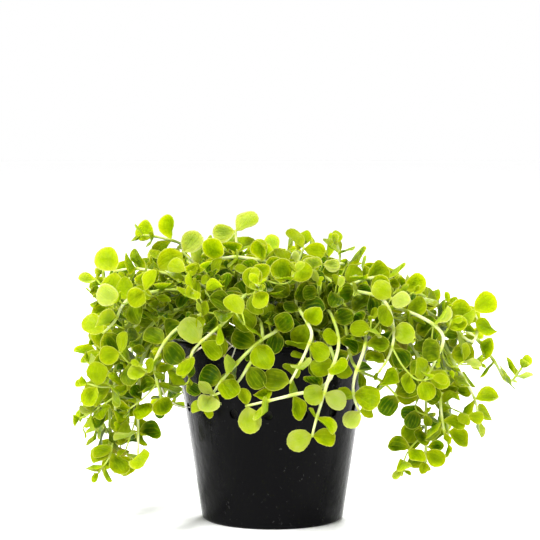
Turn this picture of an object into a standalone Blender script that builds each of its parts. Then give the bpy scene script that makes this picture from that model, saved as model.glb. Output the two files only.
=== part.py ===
"""Baby tears in a small black plant pot: the pot, its plug of growing medium and the leafy stems.

Metres, +Z up. The origin is the middle of the pot's foot, on the surface that it stands on.
+X is to the right and -Y is the front.
"""

import math
import random

import bmesh
import bpy
import numpy as np
from mathutils import Vector

MM = 0.001
GAP = 0.3 * MM
# Faces that meet at less than this are shaded as one smooth surface
SMOOTH_ANGLE = math.radians(35)

# The pot
POT_HEIGHT = 50.0 * MM
POT_TOP_RADIUS = 27.0 * MM
POT_FOOT_RADIUS = 19.4 * MM
POT_WALL = 1.0 * MM
POT_FLOOR = 1.6 * MM
POT_FOOT_CHAMFER = 1.0 * MM
LIP_WIDTH = 1.0 * MM
LIP_HEIGHT = 1.6 * MM
POT_SIDES = 32
WALL_HOLE_RADIUS = 1.25 * MM
WALL_HOLE_HEIGHT = 31.5 * MM
WALL_HOLES = 16
HOLE_SIDES = 6
FRONT_HOLE = math.radians(-92.7)

# The growing medium
MEDIUM_TOP = 46.5 * MM
MEDIUM_DOME = 1.5 * MM
MEDIUM_SIDES = 16
MEDIUM_RINGS = (0.7, 0.35)

# Stems
STEM_RADIUS = 0.55 * MM
STEM_TIP_SHARE = 0.6
CORNER_SHARE = 0.79
STEM_SPACE = 1.7 * MM
BEAD_SPACING = 1.2 * MM
NODE_BAND = 0.8 * MM
STEM_FLATNESS = 0.5 * MM
LONG_STEM = 54.0 * MM
CURVE_STEPS = 16
SEED = 3

# How a stem finds its room: it is moved a little further at each attempt
STEM_ATTEMPTS = 300
FREEDOM_STEP = 0.05 * MM
CROWN_FREEDOM = 3.0
PICTURE_FREEDOM = 0.35
ROOT_TURN = 0.6
ROOT_SHARE = 0.8
ROOT_NEAREST = 2.5 * MM
ROOT_FURTHEST = 21.0 * MM
ROOT_SCATTER = (0.55, 1.0)
RISE_ASIDE = 0.12
RISE_HEIGHT = 0.5
SWAY = 0.2

# An arch: the shares of its reach at its rise, crest and fall, and its heights there
RISE_AT = 0.42
CREST_AT = 0.62
SHORT_FALL_AT = 0.86
LONG_FALL_AT = 0.96
BELOW_CREST_AT_RISE = 9.0 * MM
BELOW_CREST_AT_CREST = 1.0 * MM
FALL_SHARE = 0.3
SHORT_FALL = 16.0 * MM

# Leaves
LEAF_LENGTH = 6.8 * MM
LEAF_WIDTH_SHARE = 0.96
BROADEST_AT = 0.52
TIP_WIDTH_SHARE = 0.52
LEAF_THICKNESS = 0.5 * MM
LEAF_SPACE = 0.55 * MM
DISC_MIDDLE = 0.55
DISC_RADIUS = 0.5
OWN_STEM_SHARE = 0.45
FLOOR_SPACE = 8.0 * MM
PAIRS_IN_A_LONG_SOLID = (2, 3, 5)
PAIRS_IN_A_SHORT_SOLID = (2, 4)
BARE_LENGTH = 9.0 * MM
PAIR_TURN = 1.1
# Stems whose end pair stands upright to them
FIRST_TURNS = {"stem_cross_tip": 1.5}
FIRST_TURN = 0.5
VIGOUR = (0.92, 1.08)
LEAF_SCATTER = (0.88, 1.08)

# How a leaf finds its room: at each attempt it is tilted more by chance and made smaller
LEAF_ATTEMPTS = 10
FIRST_TILT = 0.32
TILT_STEP = 0.05
SHRINK_STEP = 0.03

# How a leaf faces: out from the plant's axis, up and to the light in front
HEART = Vector((0.0, 0.0, 40.0 * MM))
AXIS_REACH = 15.0 * MM
FACES_OUT = 0.65
FACES_UP = 0.45
FACES_FRONT = 0.3
FRONT = Vector((0.0, -1.0, 0.0))
SHOWN_FACES_UP = 0.25
AXIS_TILT = 0.4
FLAT_LIMIT = 0.45
FLAT_LEAN = 0.6
LEAST_ACROSS = 0.2
SLANT = Vector((0.3, 0.2, 1.0))

# How far from the tip each pair of leaves stands, and the share of the full size that it has
PAIR_PLACES = (1.2, 4.2, 9.0, 14.5, 21.0, 28.5, 36.5, 45.0, 54.0, 63.5)
PAIR_SIZES = (0.62, 0.94, 1.0, 1.05, 1.05, 1.0, 0.97, 0.93, 0.88, 0.84)

# The stems that end in a wide open pair that faces the front, with no younger ones beyond it. Others
# open by chance, but for the closed ones
OPEN_TIPS = (
    "stem_twin_leaf",
    "stem_folded_leaf",
    "stem_left_crown",
    "stem_left_upper",
    "stem_left_mid",
    "stem_left_low",
    "stem_front_mid",
    "stem_right_upper",
    "stem_right_pair",
    "stem_right_round",
)
CLOSED_TIPS = ("stem_bud", "stem_cross_tip", "stem_right_trail")
OPEN_TIP_CHANCE = 0.45
OPEN_FROM_PAIR = 2
OPEN_PLACE = 1.6

# How far each pair leans to the tip: the youngest most
PAIR_LEANS = (1.1, 0.55, 0.3, 0.26, 0.26, 0.26, 0.26, 0.26, 0.26, 0.26)

# The stems that the front shows, by hand: points in millimetres from the crown to the tip
FRONT_STEMS = {
    "twin_leaf": ((-6, -10, 61), (-9, -12, 71), (-10, -12, 81)),
    "folded_leaf": ((5, -10, 61), (7, -10, 71), (9, -10, 76)),
    "arch_over": ((8, -11, 60), (4, -15, 69), (-9, -20, 73), (-18, -24, 71), (-26, -27, 66)),
    "bud": ((13, -6, 63), (18, -8, 71), (17, -8, 77)),
    "left_crown": ((-10, -6, 60), (-19, -12, 69), (-25, -15, 75)),
    "cross_tip": ((-13, 2, 63), (-23, 0, 74), (-30, -2, 77), (-36, -4, 78)),
    "left_upper": ((-13, -12, 61), (-22, -18, 67), (-30, -20, 69), (-37, -20, 70), (-43, -20, 69)),
    "left_mid": ((-11, -20, 62), (-25, -28, 65), (-37, -30, 63), (-41, -30, 57), (-45, -28, 53)),
    "left_low": ((-14, -14, 58), (-27, -24, 59), (-36, -26, 51), (-40, -26, 49), (-46, -22, 49)),
    "left_trail": ((-16, -6, 58), (-36, -12, 56), (-47, -14, 42), (-46, -12, 29), (-43, -10, 23)),
    "left_inner": ((-10, -22, 61), (-24, -34, 56), (-30, -36, 48), (-30, -36, 43), (-28, -32, 34)),
    "front_long": ((-5, -24, 61), (-7, -33, 64), (-12, -40, 58), (-20, -42, 51), (-21, -40, 45)),
    "pot_cross_a": ((3, -22, 57), (1, -34, 55), (-4, -38, 52), (-12, -40, 44), (-18, -38, 35)),
    "pot_cross_b": ((-4, -22, 57), (-3, -33, 52), (-6, -38, 46), (-10, -40, 41), (-16, -42, 39)),
    "pot_cross_c": ((12, -24, 54), (16, -36, 47), (13, -38, 41), (5, -40, 39), (-8, -41, 36)),
    "front_mid": ((7, -24, 60), (10, -36, 55), (9, -38, 51), (6, -40, 45), (4, -38, 41)),
    "front_right": ((15, -22, 59), (17, -36, 52), (14, -40, 42), (11, -40, 32), (10, -38, 27)),
    "front_drop": ((20, -20, 59), (24, -34, 53), (21, -38, 43), (21, -38, 38), (23, -36, 33)),
    "right_bar": ((19, -16, 56), (21, -32, 46), (28, -34, 42), (33, -32, 37)),
    "right_mid": ((15, -16, 63), (27, -30, 63), (32, -34, 55), (30, -34, 49), (27, -34, 43)),
    "right_round": ((17, -12, 60), (33, -27, 60), (44, -30, 54), (42, -30, 46), (38, -28, 38)),
    "right_upper": ((14, -12, 63), (25, -20, 67), (31, -21, 66), (36, -22, 63)),
    "right_pair": ((16, -8, 61), (34, -14, 62), (47, -16, 54), (53, -16, 50), (55, -15, 55), (53, -15, 60)),
    "right_trail": ((17, 0, 59), (37, -4, 63), (54, -6, 51), (60, -6, 44), (64, -6, 38), (68, -8, 43)),
    "right_low": ((17, -6, 58), (39, -16, 57), (49, -20, 45), (53, -20, 36), (55, -18, 29)),
}

# The rest of the stems, as arches: azimuth in degrees, then reach, crest and tip height in millimetres
TRAILING_STEMS = (
    (178, 46, 66, 28),
    (190, 45, 62, 17),
    (203, 45, 60, 24),
    (216, 45, 59, 20),
    (2, 47, 62, 32),
    (-12, 50, 59, 22),
    (-24, 52, 60, 26),
    (-37, 46, 59, 18),
    (20, 50, 64, 24),
    (46, 52, 67, 30),
    (70, 54, 68, 26),
    (94, 50, 69, 34),
    (118, 52, 68, 24),
    (142, 52, 68, 30),
    (162, 51, 67, 22),
)
SHOULDER_STEMS = (
    (12, 44, 65, 50),
    (38, 42, 68, 55),
    (62, 40, 71, 58),
    (88, 42, 72, 55),
    (112, 40, 72, 58),
    (134, 42, 71, 55),
    (158, 43, 70, 53),
    (184, 43, 70, 51),
)
CROWN_STEMS = (
    (30, 24, 71, 67),
    (75, 18, 73, 69),
    (120, 24, 72, 67),
    (165, 22, 74, 69),
    (235, 30, 69, 60),
    (262, 29, 69, 60),
    (285, 27, 70, 64),
    (305, 31, 68, 60),
    (335, 26, 71, 65),
    (320, 12, 74, 71),
)


def clear_scene():
    """Takes the starting objects out."""
    for obj in list(bpy.data.objects):
        bpy.data.objects.remove(obj, do_unlink=True)


def plain_material(name, colour, roughness):
    """A non-metal of one colour."""
    material = bpy.data.materials.new(name)
    material.use_nodes = True
    shader = material.node_tree.nodes["Principled BSDF"]
    shader.inputs["Base Color"].default_value = (*colour, 1.0)
    shader.inputs["Roughness"].default_value = roughness
    shader.inputs["Metallic"].default_value = 0.0
    material.diffuse_color = (*colour, 1.0)
    return material


def object_from(mesh_tool, name, material):
    """Makes a named object from a bmesh, with its faces pointing out and its round faces smooth."""
    bmesh.ops.recalc_face_normals(mesh_tool, faces=mesh_tool.faces)
    mesh = bpy.data.meshes.new(name)
    mesh_tool.to_mesh(mesh)
    mesh_tool.free()
    mesh.shade_smooth()
    mesh.set_sharp_from_angle(angle=SMOOTH_ANGLE)
    mesh.materials.append(material)
    obj = bpy.data.objects.new(name, mesh)
    bpy.context.scene.collection.objects.link(obj)
    return obj


def turned(profile, sides, start):
    """A bmesh of a profile of (radius, height) turned a full turn about Z. Its ends lie on the axis."""
    mesh_tool = bmesh.new()
    way = (math.cos(start), math.sin(start))
    points = [mesh_tool.verts.new((radius * way[0], radius * way[1], height)) for radius, height in profile]
    edges = [mesh_tool.edges.new(pair) for pair in zip(points, points[1:])]
    bmesh.ops.spin(
        mesh_tool,
        geom=points + edges,
        cent=(0, 0, 0),
        axis=(0, 0, 1),
        angle=2 * math.pi,
        steps=sides,
        use_merge=True,
    )
    bmesh.ops.remove_doubles(mesh_tool, verts=mesh_tool.verts, dist=0.001 * MM)
    return mesh_tool


def pot_outer_radius(height):
    """The radius of the pot's outer wall, which tapers evenly from top to foot."""
    share = min(max(height / POT_HEIGHT, 0.0), 1.0)
    return POT_FOOT_RADIUS + (POT_TOP_RADIUS - POT_FOOT_RADIUS) * share


def add_rod(mesh_tool, centre, direction, radius, length):
    """Adds one closed prism to a bmesh, for a cutter."""
    turn = Vector((0, 0, 1)).rotation_difference(direction).to_matrix().to_4x4()
    turn.translation = centre
    bmesh.ops.create_cone(
        mesh_tool,
        cap_ends=True,
        segments=HOLE_SIDES,
        radius1=radius,
        radius2=radius,
        depth=length,
        matrix=turn,
    )


def pot_cutter():
    """The row of round holes through the wall."""
    mesh_tool = bmesh.new()
    for step in range(WALL_HOLES):
        turn = FRONT_HOLE + 2 * math.pi * step / WALL_HOLES
        outward = Vector((math.cos(turn), math.sin(turn), 0.0))
        radius = pot_outer_radius(WALL_HOLE_HEIGHT) - POT_WALL / 2
        centre = outward * radius + Vector((0, 0, WALL_HOLE_HEIGHT))
        add_rod(mesh_tool, centre, outward, WALL_HOLE_RADIUS, 6 * POT_WALL)
    cutter = object_from(mesh_tool, "pot_hole_cutter", bpy.data.materials["pot_plastic"])
    cutter.hide_render = True
    cutter.display_type = "WIRE"
    return cutter


def build_pot():
    """The tapered pot: foot, wall and rolled lip, with its holes cut by a Boolean."""
    lip_foot = POT_HEIGHT - LIP_HEIGHT
    profile = (
        (0.0, 0.0),
        (POT_FOOT_RADIUS - POT_FOOT_CHAMFER, 0.0),
        (POT_FOOT_RADIUS, POT_FOOT_CHAMFER),
        (pot_outer_radius(lip_foot), lip_foot),
        (POT_TOP_RADIUS + LIP_WIDTH, lip_foot),
        (POT_TOP_RADIUS + LIP_WIDTH, POT_HEIGHT),
        (POT_TOP_RADIUS - POT_WALL, POT_HEIGHT),
        (pot_outer_radius(POT_FLOOR) - POT_WALL, POT_FLOOR),
        (0.0, POT_FLOOR),
    )
    first_corner = FRONT_HOLE + math.pi / POT_SIDES
    pot = object_from(turned(profile, POT_SIDES, first_corner), "pot", bpy.data.materials["pot_plastic"])
    cut = pot.modifiers.new("holes", "BOOLEAN")
    cut.operation = "DIFFERENCE"
    cut.object = pot_cutter()
    return pot


def medium_radius(height):
    """The radius of the plug, which fits the pot's inner wall with a gap."""
    return (pot_outer_radius(height) - POT_WALL - GAP) * math.cos(math.pi / POT_SIDES)


def medium_height(radius):
    """The height of the plug's top, a low dome."""
    share = min(radius / medium_radius(MEDIUM_TOP), 1.0)
    return MEDIUM_TOP + MEDIUM_DOME * (1 - share * share)


def build_medium():
    """The plug of growing medium that fills the pot."""
    bottom = POT_FLOOR + GAP
    top_radius = medium_radius(MEDIUM_TOP)
    profile = (
        (0.0, bottom),
        (medium_radius(bottom), bottom),
        (top_radius, MEDIUM_TOP),
        *((share * top_radius, medium_height(share * top_radius)) for share in MEDIUM_RINGS),
        (0.0, medium_height(0.0)),
    )
    mesh_tool = turned(profile, MEDIUM_SIDES, 0.0)
    return object_from(mesh_tool, "growing_medium", bpy.data.materials["medium_fibre"])


def smooth_line(points, spacing):
    """Evenly spaced points on the Catmull-Rom curve through the given ones."""
    ends = [2 * points[0] - points[1], *points, 2 * points[-1] - points[-2]]
    fine = []
    for a, b, c, d in zip(ends, ends[1:], ends[2:], ends[3:]):
        bend = 2 * a - 5 * b + 4 * c - d
        twist = 3 * b - a - 3 * c + d
        for step in range(CURVE_STEPS):
            t = step / CURVE_STEPS
            fine.append((2 * b + (c - a) * t + bend * t * t + twist * t**3) / 2)
    fine.append(points[-1])
    lengths = [0.0]
    for a, b in zip(fine, fine[1:]):
        lengths.append(lengths[-1] + (b - a).length)
    count = max(2, round(lengths[-1] / spacing))
    line = []
    place = 0
    for step in range(count + 1):
        goal = lengths[-1] * step / count
        while place < len(fine) - 2 and lengths[place + 1] < goal:
            place += 1
        share = (goal - lengths[place]) / max(lengths[place + 1] - lengths[place], 1e-9)
        line.append(fine[place].lerp(fine[place + 1], min(share, 1.0)))
    return line


def point_on(line, from_tip):
    """The point that lies this far from a line's tip, measured along it, and the line's direction there."""
    spacing = (line[1] - line[0]).length
    place = max(len(line) - 1 - from_tip / spacing, 0.0)
    lower = min(int(place), len(line) - 2)
    point = line[lower].lerp(line[lower + 1], place - lower)
    before = line[max(lower - 1, 0)]
    after = line[min(lower + 2, len(line) - 1)]
    return point, (after - before).normalized()


def in_pot(point, space):
    """Whether a point lies in the pot or its medium, or closer to them than the space."""
    radius = math.hypot(point[0], point[1])
    height = point[2]
    if height > POT_HEIGHT + space:
        return False
    lip = LIP_WIDTH if height > POT_HEIGHT - LIP_HEIGHT - space else 0.0
    if radius > pot_outer_radius(height) + lip + space:
        return False
    inside = radius < pot_outer_radius(height) - POT_WALL - space
    return not (inside and height > medium_height(radius) + space)


class Thicket:
    """What has grown so far: each stem as beads and each leaf as a round disc, to keep new growth clear."""

    RIM_POINTS = 12

    def __init__(self):
        self.beads = np.zeros((0, 3))
        self.bead_owner = np.zeros(0, int)
        self.centres = np.zeros((0, 3))
        self.normals = np.zeros((0, 3))
        self.radii = np.zeros(0)
        self.rims = np.zeros((0, self.RIM_POINTS, 3))

    def stem_is_clear(self, line):
        """Whether a line of beads keeps its distance from every stem."""
        if not len(self.beads):
            return True
        points = np.array(line)
        apart = np.linalg.norm(points[:, None, :] - self.beads[None, :, :], axis=2)
        return apart.min() > STEM_SPACE

    def add_stem(self, line, owner):
        self.beads = np.vstack([self.beads, np.array(line)])
        self.bead_owner = np.append(self.bead_owner, [owner] * len(line))

    def rim_of(self, leaf):
        """The middle of a leaf's disc and points around its edge."""
        centre = np.array(leaf["base"] + leaf["axis"] * leaf["length"] * DISC_MIDDLE)
        across = np.array(leaf["normal"].cross(leaf["axis"]))
        axis = np.array(leaf["axis"])
        turns = np.arange(self.RIM_POINTS) * 2 * math.pi / self.RIM_POINTS
        half = leaf["length"] * DISC_RADIUS
        rim = centre + half * (np.outer(np.cos(turns), axis) + np.outer(np.sin(turns), across))
        return centre, rim

    def leaf_is_clear(self, leaf, owner):
        """Whether a leaf keeps clear of the pot, the floor, every stem and every other leaf."""
        centre, rim = self.rim_of(leaf)
        if rim[:, 2].min() < FLOOR_SPACE or any(in_pot(point, LEAF_SPACE) for point in rim):
            return False
        normal = np.array(leaf["normal"])
        half = leaf["length"] * DISC_RADIUS
        offset = self.beads - centre
        height = np.abs(offset @ normal)
        reach = np.sqrt(np.maximum((offset**2).sum(1) - height**2, 0))
        from_base = np.linalg.norm(self.beads - np.array(leaf["base"]), axis=1)
        own_stem = (self.bead_owner == owner) & (from_base < OWN_STEM_SHARE * leaf["length"])
        touching = (height < STEM_RADIUS + LEAF_SPACE) & (reach < half + STEM_RADIUS) & ~own_stem
        if touching.any():
            return False
        if not len(self.centres):
            return True
        near = np.linalg.norm(self.centres - centre, axis=1) < half + self.radii + LEAF_SPACE
        if not near.any():
            return True
        centres, normals, radii, rims = (
            self.centres[near],
            self.normals[near],
            self.radii[near],
            self.rims[near],
        )
        # This leaf's edge against each near disc
        offset = rim[None, :, :] - centres[:, None, :]
        if self.edge_meets(offset, normals, radii):
            return False
        # Each near disc's edge against this leaf
        offset = rims - centre
        own = np.repeat(normal[None, :], len(centres), axis=0)
        return not self.edge_meets(offset, own, np.full(len(centres), half))

    @staticmethod
    def edge_meets(offset, normals, radii):
        """Whether an edge, as points about a disc's middle, passes through that disc or too close."""
        height = np.einsum("ijk,ik->ij", offset, normals)
        flat = offset - height[:, :, None] * normals[:, None, :]
        reach = np.linalg.norm(flat, axis=2)
        close = (np.abs(height) < LEAF_SPACE) & (reach < radii[:, None])
        following = np.roll(height, -1, axis=1)
        crosses = height * following < 0
        share = height / np.where(crosses, height - following, 1.0)
        where = flat + (np.roll(flat, -1, axis=1) - flat) * share[:, :, None]
        through = crosses & (np.linalg.norm(where, axis=2) < radii[:, None])
        return bool(close.any() or through.any())

    def add_leaf(self, leaf):
        centre, rim = self.rim_of(leaf)
        self.centres = np.vstack([self.centres, centre])
        self.normals = np.vstack([self.normals, np.array(leaf["normal"])])
        self.radii = np.append(self.radii, leaf["length"] * DISC_RADIUS)
        self.rims = np.concatenate([self.rims, rim[None, :, :]])


def shifted(points, rng, freedom):
    """The points of a stem, moved a little: most at the crown, and more in depth than aside."""
    moved = []
    for place, point in enumerate(points):
        share = CROWN_FREEDOM if place == 0 else 1.0
        depth = rng.uniform(-freedom, freedom) * share
        aside = rng.uniform(-freedom, freedom) * share * PICTURE_FREEDOM
        height = rng.uniform(-freedom, freedom) * share * PICTURE_FREEDOM
        moved.append(point + Vector((aside, depth, height)))
    return moved


def arch_points(azimuth, reach, crest, tip, sway):
    """The points of an arched stem beyond its root: up, over and down to its tip."""
    fall = crest - tip
    stages = (
        (RISE_AT, crest - BELOW_CREST_AT_RISE),
        (CREST_AT, crest - BELOW_CREST_AT_CREST),
        (SHORT_FALL_AT if fall < SHORT_FALL else LONG_FALL_AT, crest - FALL_SHARE * fall),
        (1.0, tip),
    )
    points = []
    for share, height in stages:
        turn = math.radians(azimuth) + sway * share
        points.append(Vector((reach * share * math.cos(turn), reach * share * math.sin(turn), height)))
    return points


def grow_stems(thicket, rng):
    """Each stem's line from the medium to its tip, clear of the pot and of the other stems."""
    wanted = {}
    for name, points in FRONT_STEMS.items():
        wanted[f"stem_{name}"] = [Vector(point) * MM for point in points]
    for kind, arches in (("trailing", TRAILING_STEMS), ("shoulder", SHOULDER_STEMS), ("crown", CROWN_STEMS)):
        for number, (azimuth, reach, crest, tip) in enumerate(arches, start=1):
            sway = rng.uniform(-SWAY, SWAY)
            course = arch_points(azimuth, reach * MM, crest * MM, tip * MM, sway)
            wanted[f"stem_{kind}_{number:02d}"] = course
    stems = {}
    for owner, (name, course) in enumerate(wanted.items()):
        for attempt in range(STEM_ATTEMPTS):
            points = shifted(course, rng, attempt * FREEDOM_STEP)
            turn = math.atan2(points[0].y, points[0].x) + rng.uniform(-ROOT_TURN, ROOT_TURN)
            radius = min(max(ROOT_SHARE * points[0].xy.length, ROOT_NEAREST), ROOT_FURTHEST)
            radius *= rng.uniform(*ROOT_SCATTER)
            root = Vector((radius * math.cos(turn), radius * math.sin(turn), 0.0))
            root.z = medium_height(radius) + GAP
            rise = root.lerp(points[0], RISE_ASIDE)
            rise.z = root.z + RISE_HEIGHT * (points[0].z - root.z)
            line = smooth_line([root, rise, *points], BEAD_SPACING)
            touching = any(in_pot(point, STEM_RADIUS + LEAF_SPACE) for point in line[2:])
            if not touching and thicket.stem_is_clear(line):
                break
        else:
            raise ValueError(f"no room for the stem {name}")
        thicket.add_stem(line, owner)
        stems[name] = line
    return stems


def leaf_at(point, along, turn, side, size, lean, spread, shown, rng):
    """One leaf of a pair: its base, the way that it points and the way that it faces."""
    outward = FRONT if shown else (point - HEART).normalized()
    across = along.cross(outward)
    if across.length < LEAST_ACROSS:
        across = along.cross(SLANT)
    across.normalize()
    level = along.cross(across)
    away = (across * math.cos(turn) + level * math.sin(turn)) * side
    jitter = Vector((rng.gauss(0, spread), rng.gauss(0, spread), rng.gauss(0, spread)))
    axis = (away + along * lean + AXIS_TILT * jitter).normalized()
    level_out = Vector((point.x, point.y, 0.0)) / max(point.xy.length, AXIS_REACH)
    light = level_out * FACES_OUT + Vector((0, -FACES_FRONT, FACES_UP)) + jitter
    if shown:
        light = FRONT + Vector((0, 0, SHOWN_FACES_UP)) + jitter
    normal = light - axis * light.dot(axis)
    if normal.length < FLAT_LIMIT:
        normal = normal + FLAT_LEAN * (along - axis * along.dot(axis))
    return {
        "base": point,
        "axis": axis,
        "normal": normal.normalized(),
        "away": away,
        "length": size,
    }


def grow_leaves(name, line, owner, thicket, rng):
    """The pairs of leaves along a stem, tip first, each leaf turned or made smaller until it is clear."""
    length = (line[1] - line[0]).length * (len(line) - 1)
    first_turn = FIRST_TURNS.get(name, rng.uniform(-FIRST_TURN, FIRST_TURN))
    vigour = rng.uniform(*VIGOUR)
    chance_opens = rng.random() < OPEN_TIP_CHANCE and name not in CLOSED_TIPS
    is_open = chance_opens or name in OPEN_TIPS
    first = OPEN_FROM_PAIR if is_open else 0
    nearer = PAIR_PLACES[first] - OPEN_PLACE if is_open else 0.0
    pairs = []
    for number, (place, share, lean) in enumerate(zip(PAIR_PLACES, PAIR_SIZES, PAIR_LEANS)):
        if number < first:
            continue
        from_tip = (place - nearer) * MM * vigour
        if from_tip > length - BARE_LENGTH:
            break
        point, along = point_on(line, from_tip)
        shown = name in OPEN_TIPS and number == first
        turn = 0.0 if shown else first_turn + (number % 2) * PAIR_TURN
        pair = {"from_tip": from_tip, "away": None, "leaves": {}}
        for side in (1, -1):
            for attempt in range(LEAF_ATTEMPTS):
                size = LEAF_LENGTH * share * vigour * rng.uniform(*LEAF_SCATTER) * (1 - SHRINK_STEP * attempt)
                spread = FIRST_TILT + TILT_STEP * attempt
                leaf = leaf_at(point, along, turn, side, size, lean, spread, shown, rng)
                if thicket.leaf_is_clear(leaf, owner):
                    thicket.add_leaf(leaf)
                    pair["leaves"][side] = leaf
                    pair["away"] = leaf["away"] * side
                    break
        pairs.append(pair)
    return pairs


def square_ring(mesh_tool, point, along, toward, radius, before):
    """Four corners around a stem, in step with the ring before it, and how far they were turned."""
    toward = (toward - along * toward.dot(along)).normalized()
    across = along.cross(toward)
    corners = (toward + across, across - toward, -toward - across, toward - across)
    places = [point + corner * radius * CORNER_SHARE for corner in corners]
    shift = 0
    if before:
        gaps = [sum((places[(k + s) % 4] - before[k].co).length for k in range(4)) for s in range(4)]
        shift = gaps.index(min(gaps))
    return [mesh_tool.verts.new(places[(k + shift) % 4]) for k in range(4)], shift


def join_rings(mesh_tool, lower, upper, skip=()):
    """The sides between two rings, but for those that a leaf grows from."""
    for k in range(4):
        if k not in skip:
            mesh_tool.faces.new((lower[k], lower[(k + 1) % 4], upper[(k + 1) % 4], upper[k]))


def winding(places, axis):
    """Whether four places run one way round an axis or the other."""
    middle = sum(places, Vector()) / 4
    total = sum((((a - middle).cross(b - middle)) for a, b in zip(places, places[1:] + places[:1])), Vector())
    return total.dot(axis) > 0


def grow_blade(mesh_tool, leaf, ring):
    """A leaf's plate, grown from the four corners of the stem's side that it leaves."""
    across = leaf["normal"].cross(leaf["axis"])
    width = leaf["length"] * LEAF_WIDTH_SHARE
    middle = leaf["base"] + leaf["axis"] * leaf["length"] * BROADEST_AT
    half_width = across * width / 2
    half_thick = leaf["normal"] * LEAF_THICKNESS / 2
    places = [
        middle + half_width - half_thick,
        middle + half_width + half_thick,
        middle - half_width + half_thick,
        middle - half_width - half_thick,
    ]
    edges = [1, 1, 0, 0]
    if winding(places, leaf["axis"]) != winding([vert.co for vert in ring], leaf["axis"]):
        places.reverse()
        edges.reverse()
    spans = [sum((places[(start + k) % 4] - ring[k].co).length for k in range(4)) for start in range(4)]
    start = spans.index(min(spans))
    broad = [mesh_tool.verts.new(places[(start + k) % 4]) for k in range(4)]
    join_rings(mesh_tool, ring, broad)
    far = leaf["base"] + leaf["axis"] * leaf["length"]
    tips = [mesh_tool.verts.new(far + half_width * TIP_WIDTH_SHARE * side) for side in (-1, 1)]
    ends = [tips[edges[(start + k) % 4]] for k in range(4)]
    for k in range(4):
        corners = [broad[k], broad[(k + 1) % 4], ends[(k + 1) % 4], ends[k]]
        mesh_tool.faces.new(list(dict.fromkeys(corners)))


def plain_places(line, lower, upper):
    """Where rings are needed between two distances from the tip, so that the stem keeps to its line."""
    start, end = point_on(line, lower)[0], point_on(line, upper)[0]
    steps = max(2, round((lower - upper) / BEAD_SPACING))
    worst, worst_place = 0.0, None
    for step in range(1, steps):
        place = lower + (upper - lower) * step / steps
        point = point_on(line, place)[0]
        chord = (end - start).normalized()
        offset = point - start
        stray = (offset - chord * offset.dot(chord)).length
        if stray > worst:
            worst, worst_place = stray, place
    if worst < STEM_FLATNESS:
        return []
    return [*plain_places(line, lower, worst_place), worst_place, *plain_places(line, worst_place, upper)]


def build_sprig(name, line, pairs):
    """One stem with the leaves that its solid carries, as a single closed body from root to tip."""
    length = (line[1] - line[0]).length * (len(line) - 1)
    carried = PAIRS_IN_A_LONG_SOLID if length > LONG_STEM else PAIRS_IN_A_SHORT_SOLID
    chosen = [pairs[k] for k in carried if k < len(pairs) and pairs[k]["leaves"]]
    chosen.sort(key=lambda pair: -pair["from_tip"])
    marks = [length]
    for pair in chosen:
        marks += [pair["from_tip"] + NODE_BAND / 2, pair["from_tip"] - NODE_BAND / 2]
    marks.append(0.0)
    stations = [(length, None)]
    for number, (lower, upper) in enumerate(zip(marks, marks[1:])):
        pair = chosen[number // 2] if number % 2 else None
        if pair is None:
            stations += [(place, None) for place in plain_places(line, lower, upper)]
        stations.append((upper, pair))
    mesh_tool = bmesh.new()
    before = None
    toward = chosen[0]["away"] if chosen else Vector((1, 0, 0))
    upcoming = {id(pair): pair["away"] for pair in chosen}
    for number, (place, pair) in enumerate(stations):
        point, along = point_on(line, place)
        if before is None:
            along = Vector((0, 0, 1))
        band = stations[number + 1][1] if number + 1 < len(stations) else None
        if pair is not None or band is not None:
            toward = upcoming[id(pair if pair is not None else band)]
        radius = STEM_RADIUS * (STEM_TIP_SHARE if place == 0.0 else 1.0)
        ring, shift = square_ring(mesh_tool, point, along, toward, radius, before)
        if before is None:
            mesh_tool.faces.new(ring)
        elif pair is None:
            join_rings(mesh_tool, before, ring)
        else:
            sides = {(3 - shift) % 4: 1, (1 - shift) % 4: -1}
            grown = {k: pair["leaves"][side] for k, side in sides.items() if side in pair["leaves"]}
            join_rings(mesh_tool, before, ring, skip=tuple(grown))
            for k, leaf in grown.items():
                following = (k + 1) % 4
                grow_blade(mesh_tool, leaf, [before[k], before[following], ring[following], ring[k]])
        before = ring
    mesh_tool.faces.new(before)
    return object_from(mesh_tool, name, bpy.data.materials["leaf_green"])


def main():
    clear_scene()
    plain_material("pot_plastic", (0.012, 0.012, 0.014), 0.3)
    plain_material("medium_fibre", (0.16, 0.12, 0.06), 0.95)
    plain_material("leaf_green", (0.32, 0.5, 0.02), 0.4)
    build_pot()
    build_medium()
    rng = random.Random(SEED)
    thicket = Thicket()
    for owner, (name, line) in enumerate(grow_stems(thicket, rng).items()):
        build_sprig(name, line, grow_leaves(name, line, owner, thicket, rng))


main()
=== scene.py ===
"""Potted baby tears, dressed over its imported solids: the pot, its plug, the leafy stems and the roots."""

import logging
import math
import random
from collections.abc import Callable, Iterator, Sequence
from dataclasses import dataclass, field
from enum import Enum
from functools import cached_property

import bmesh
import bpy
import numpy as np
from mathutils import Matrix, Vector, noise


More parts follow.
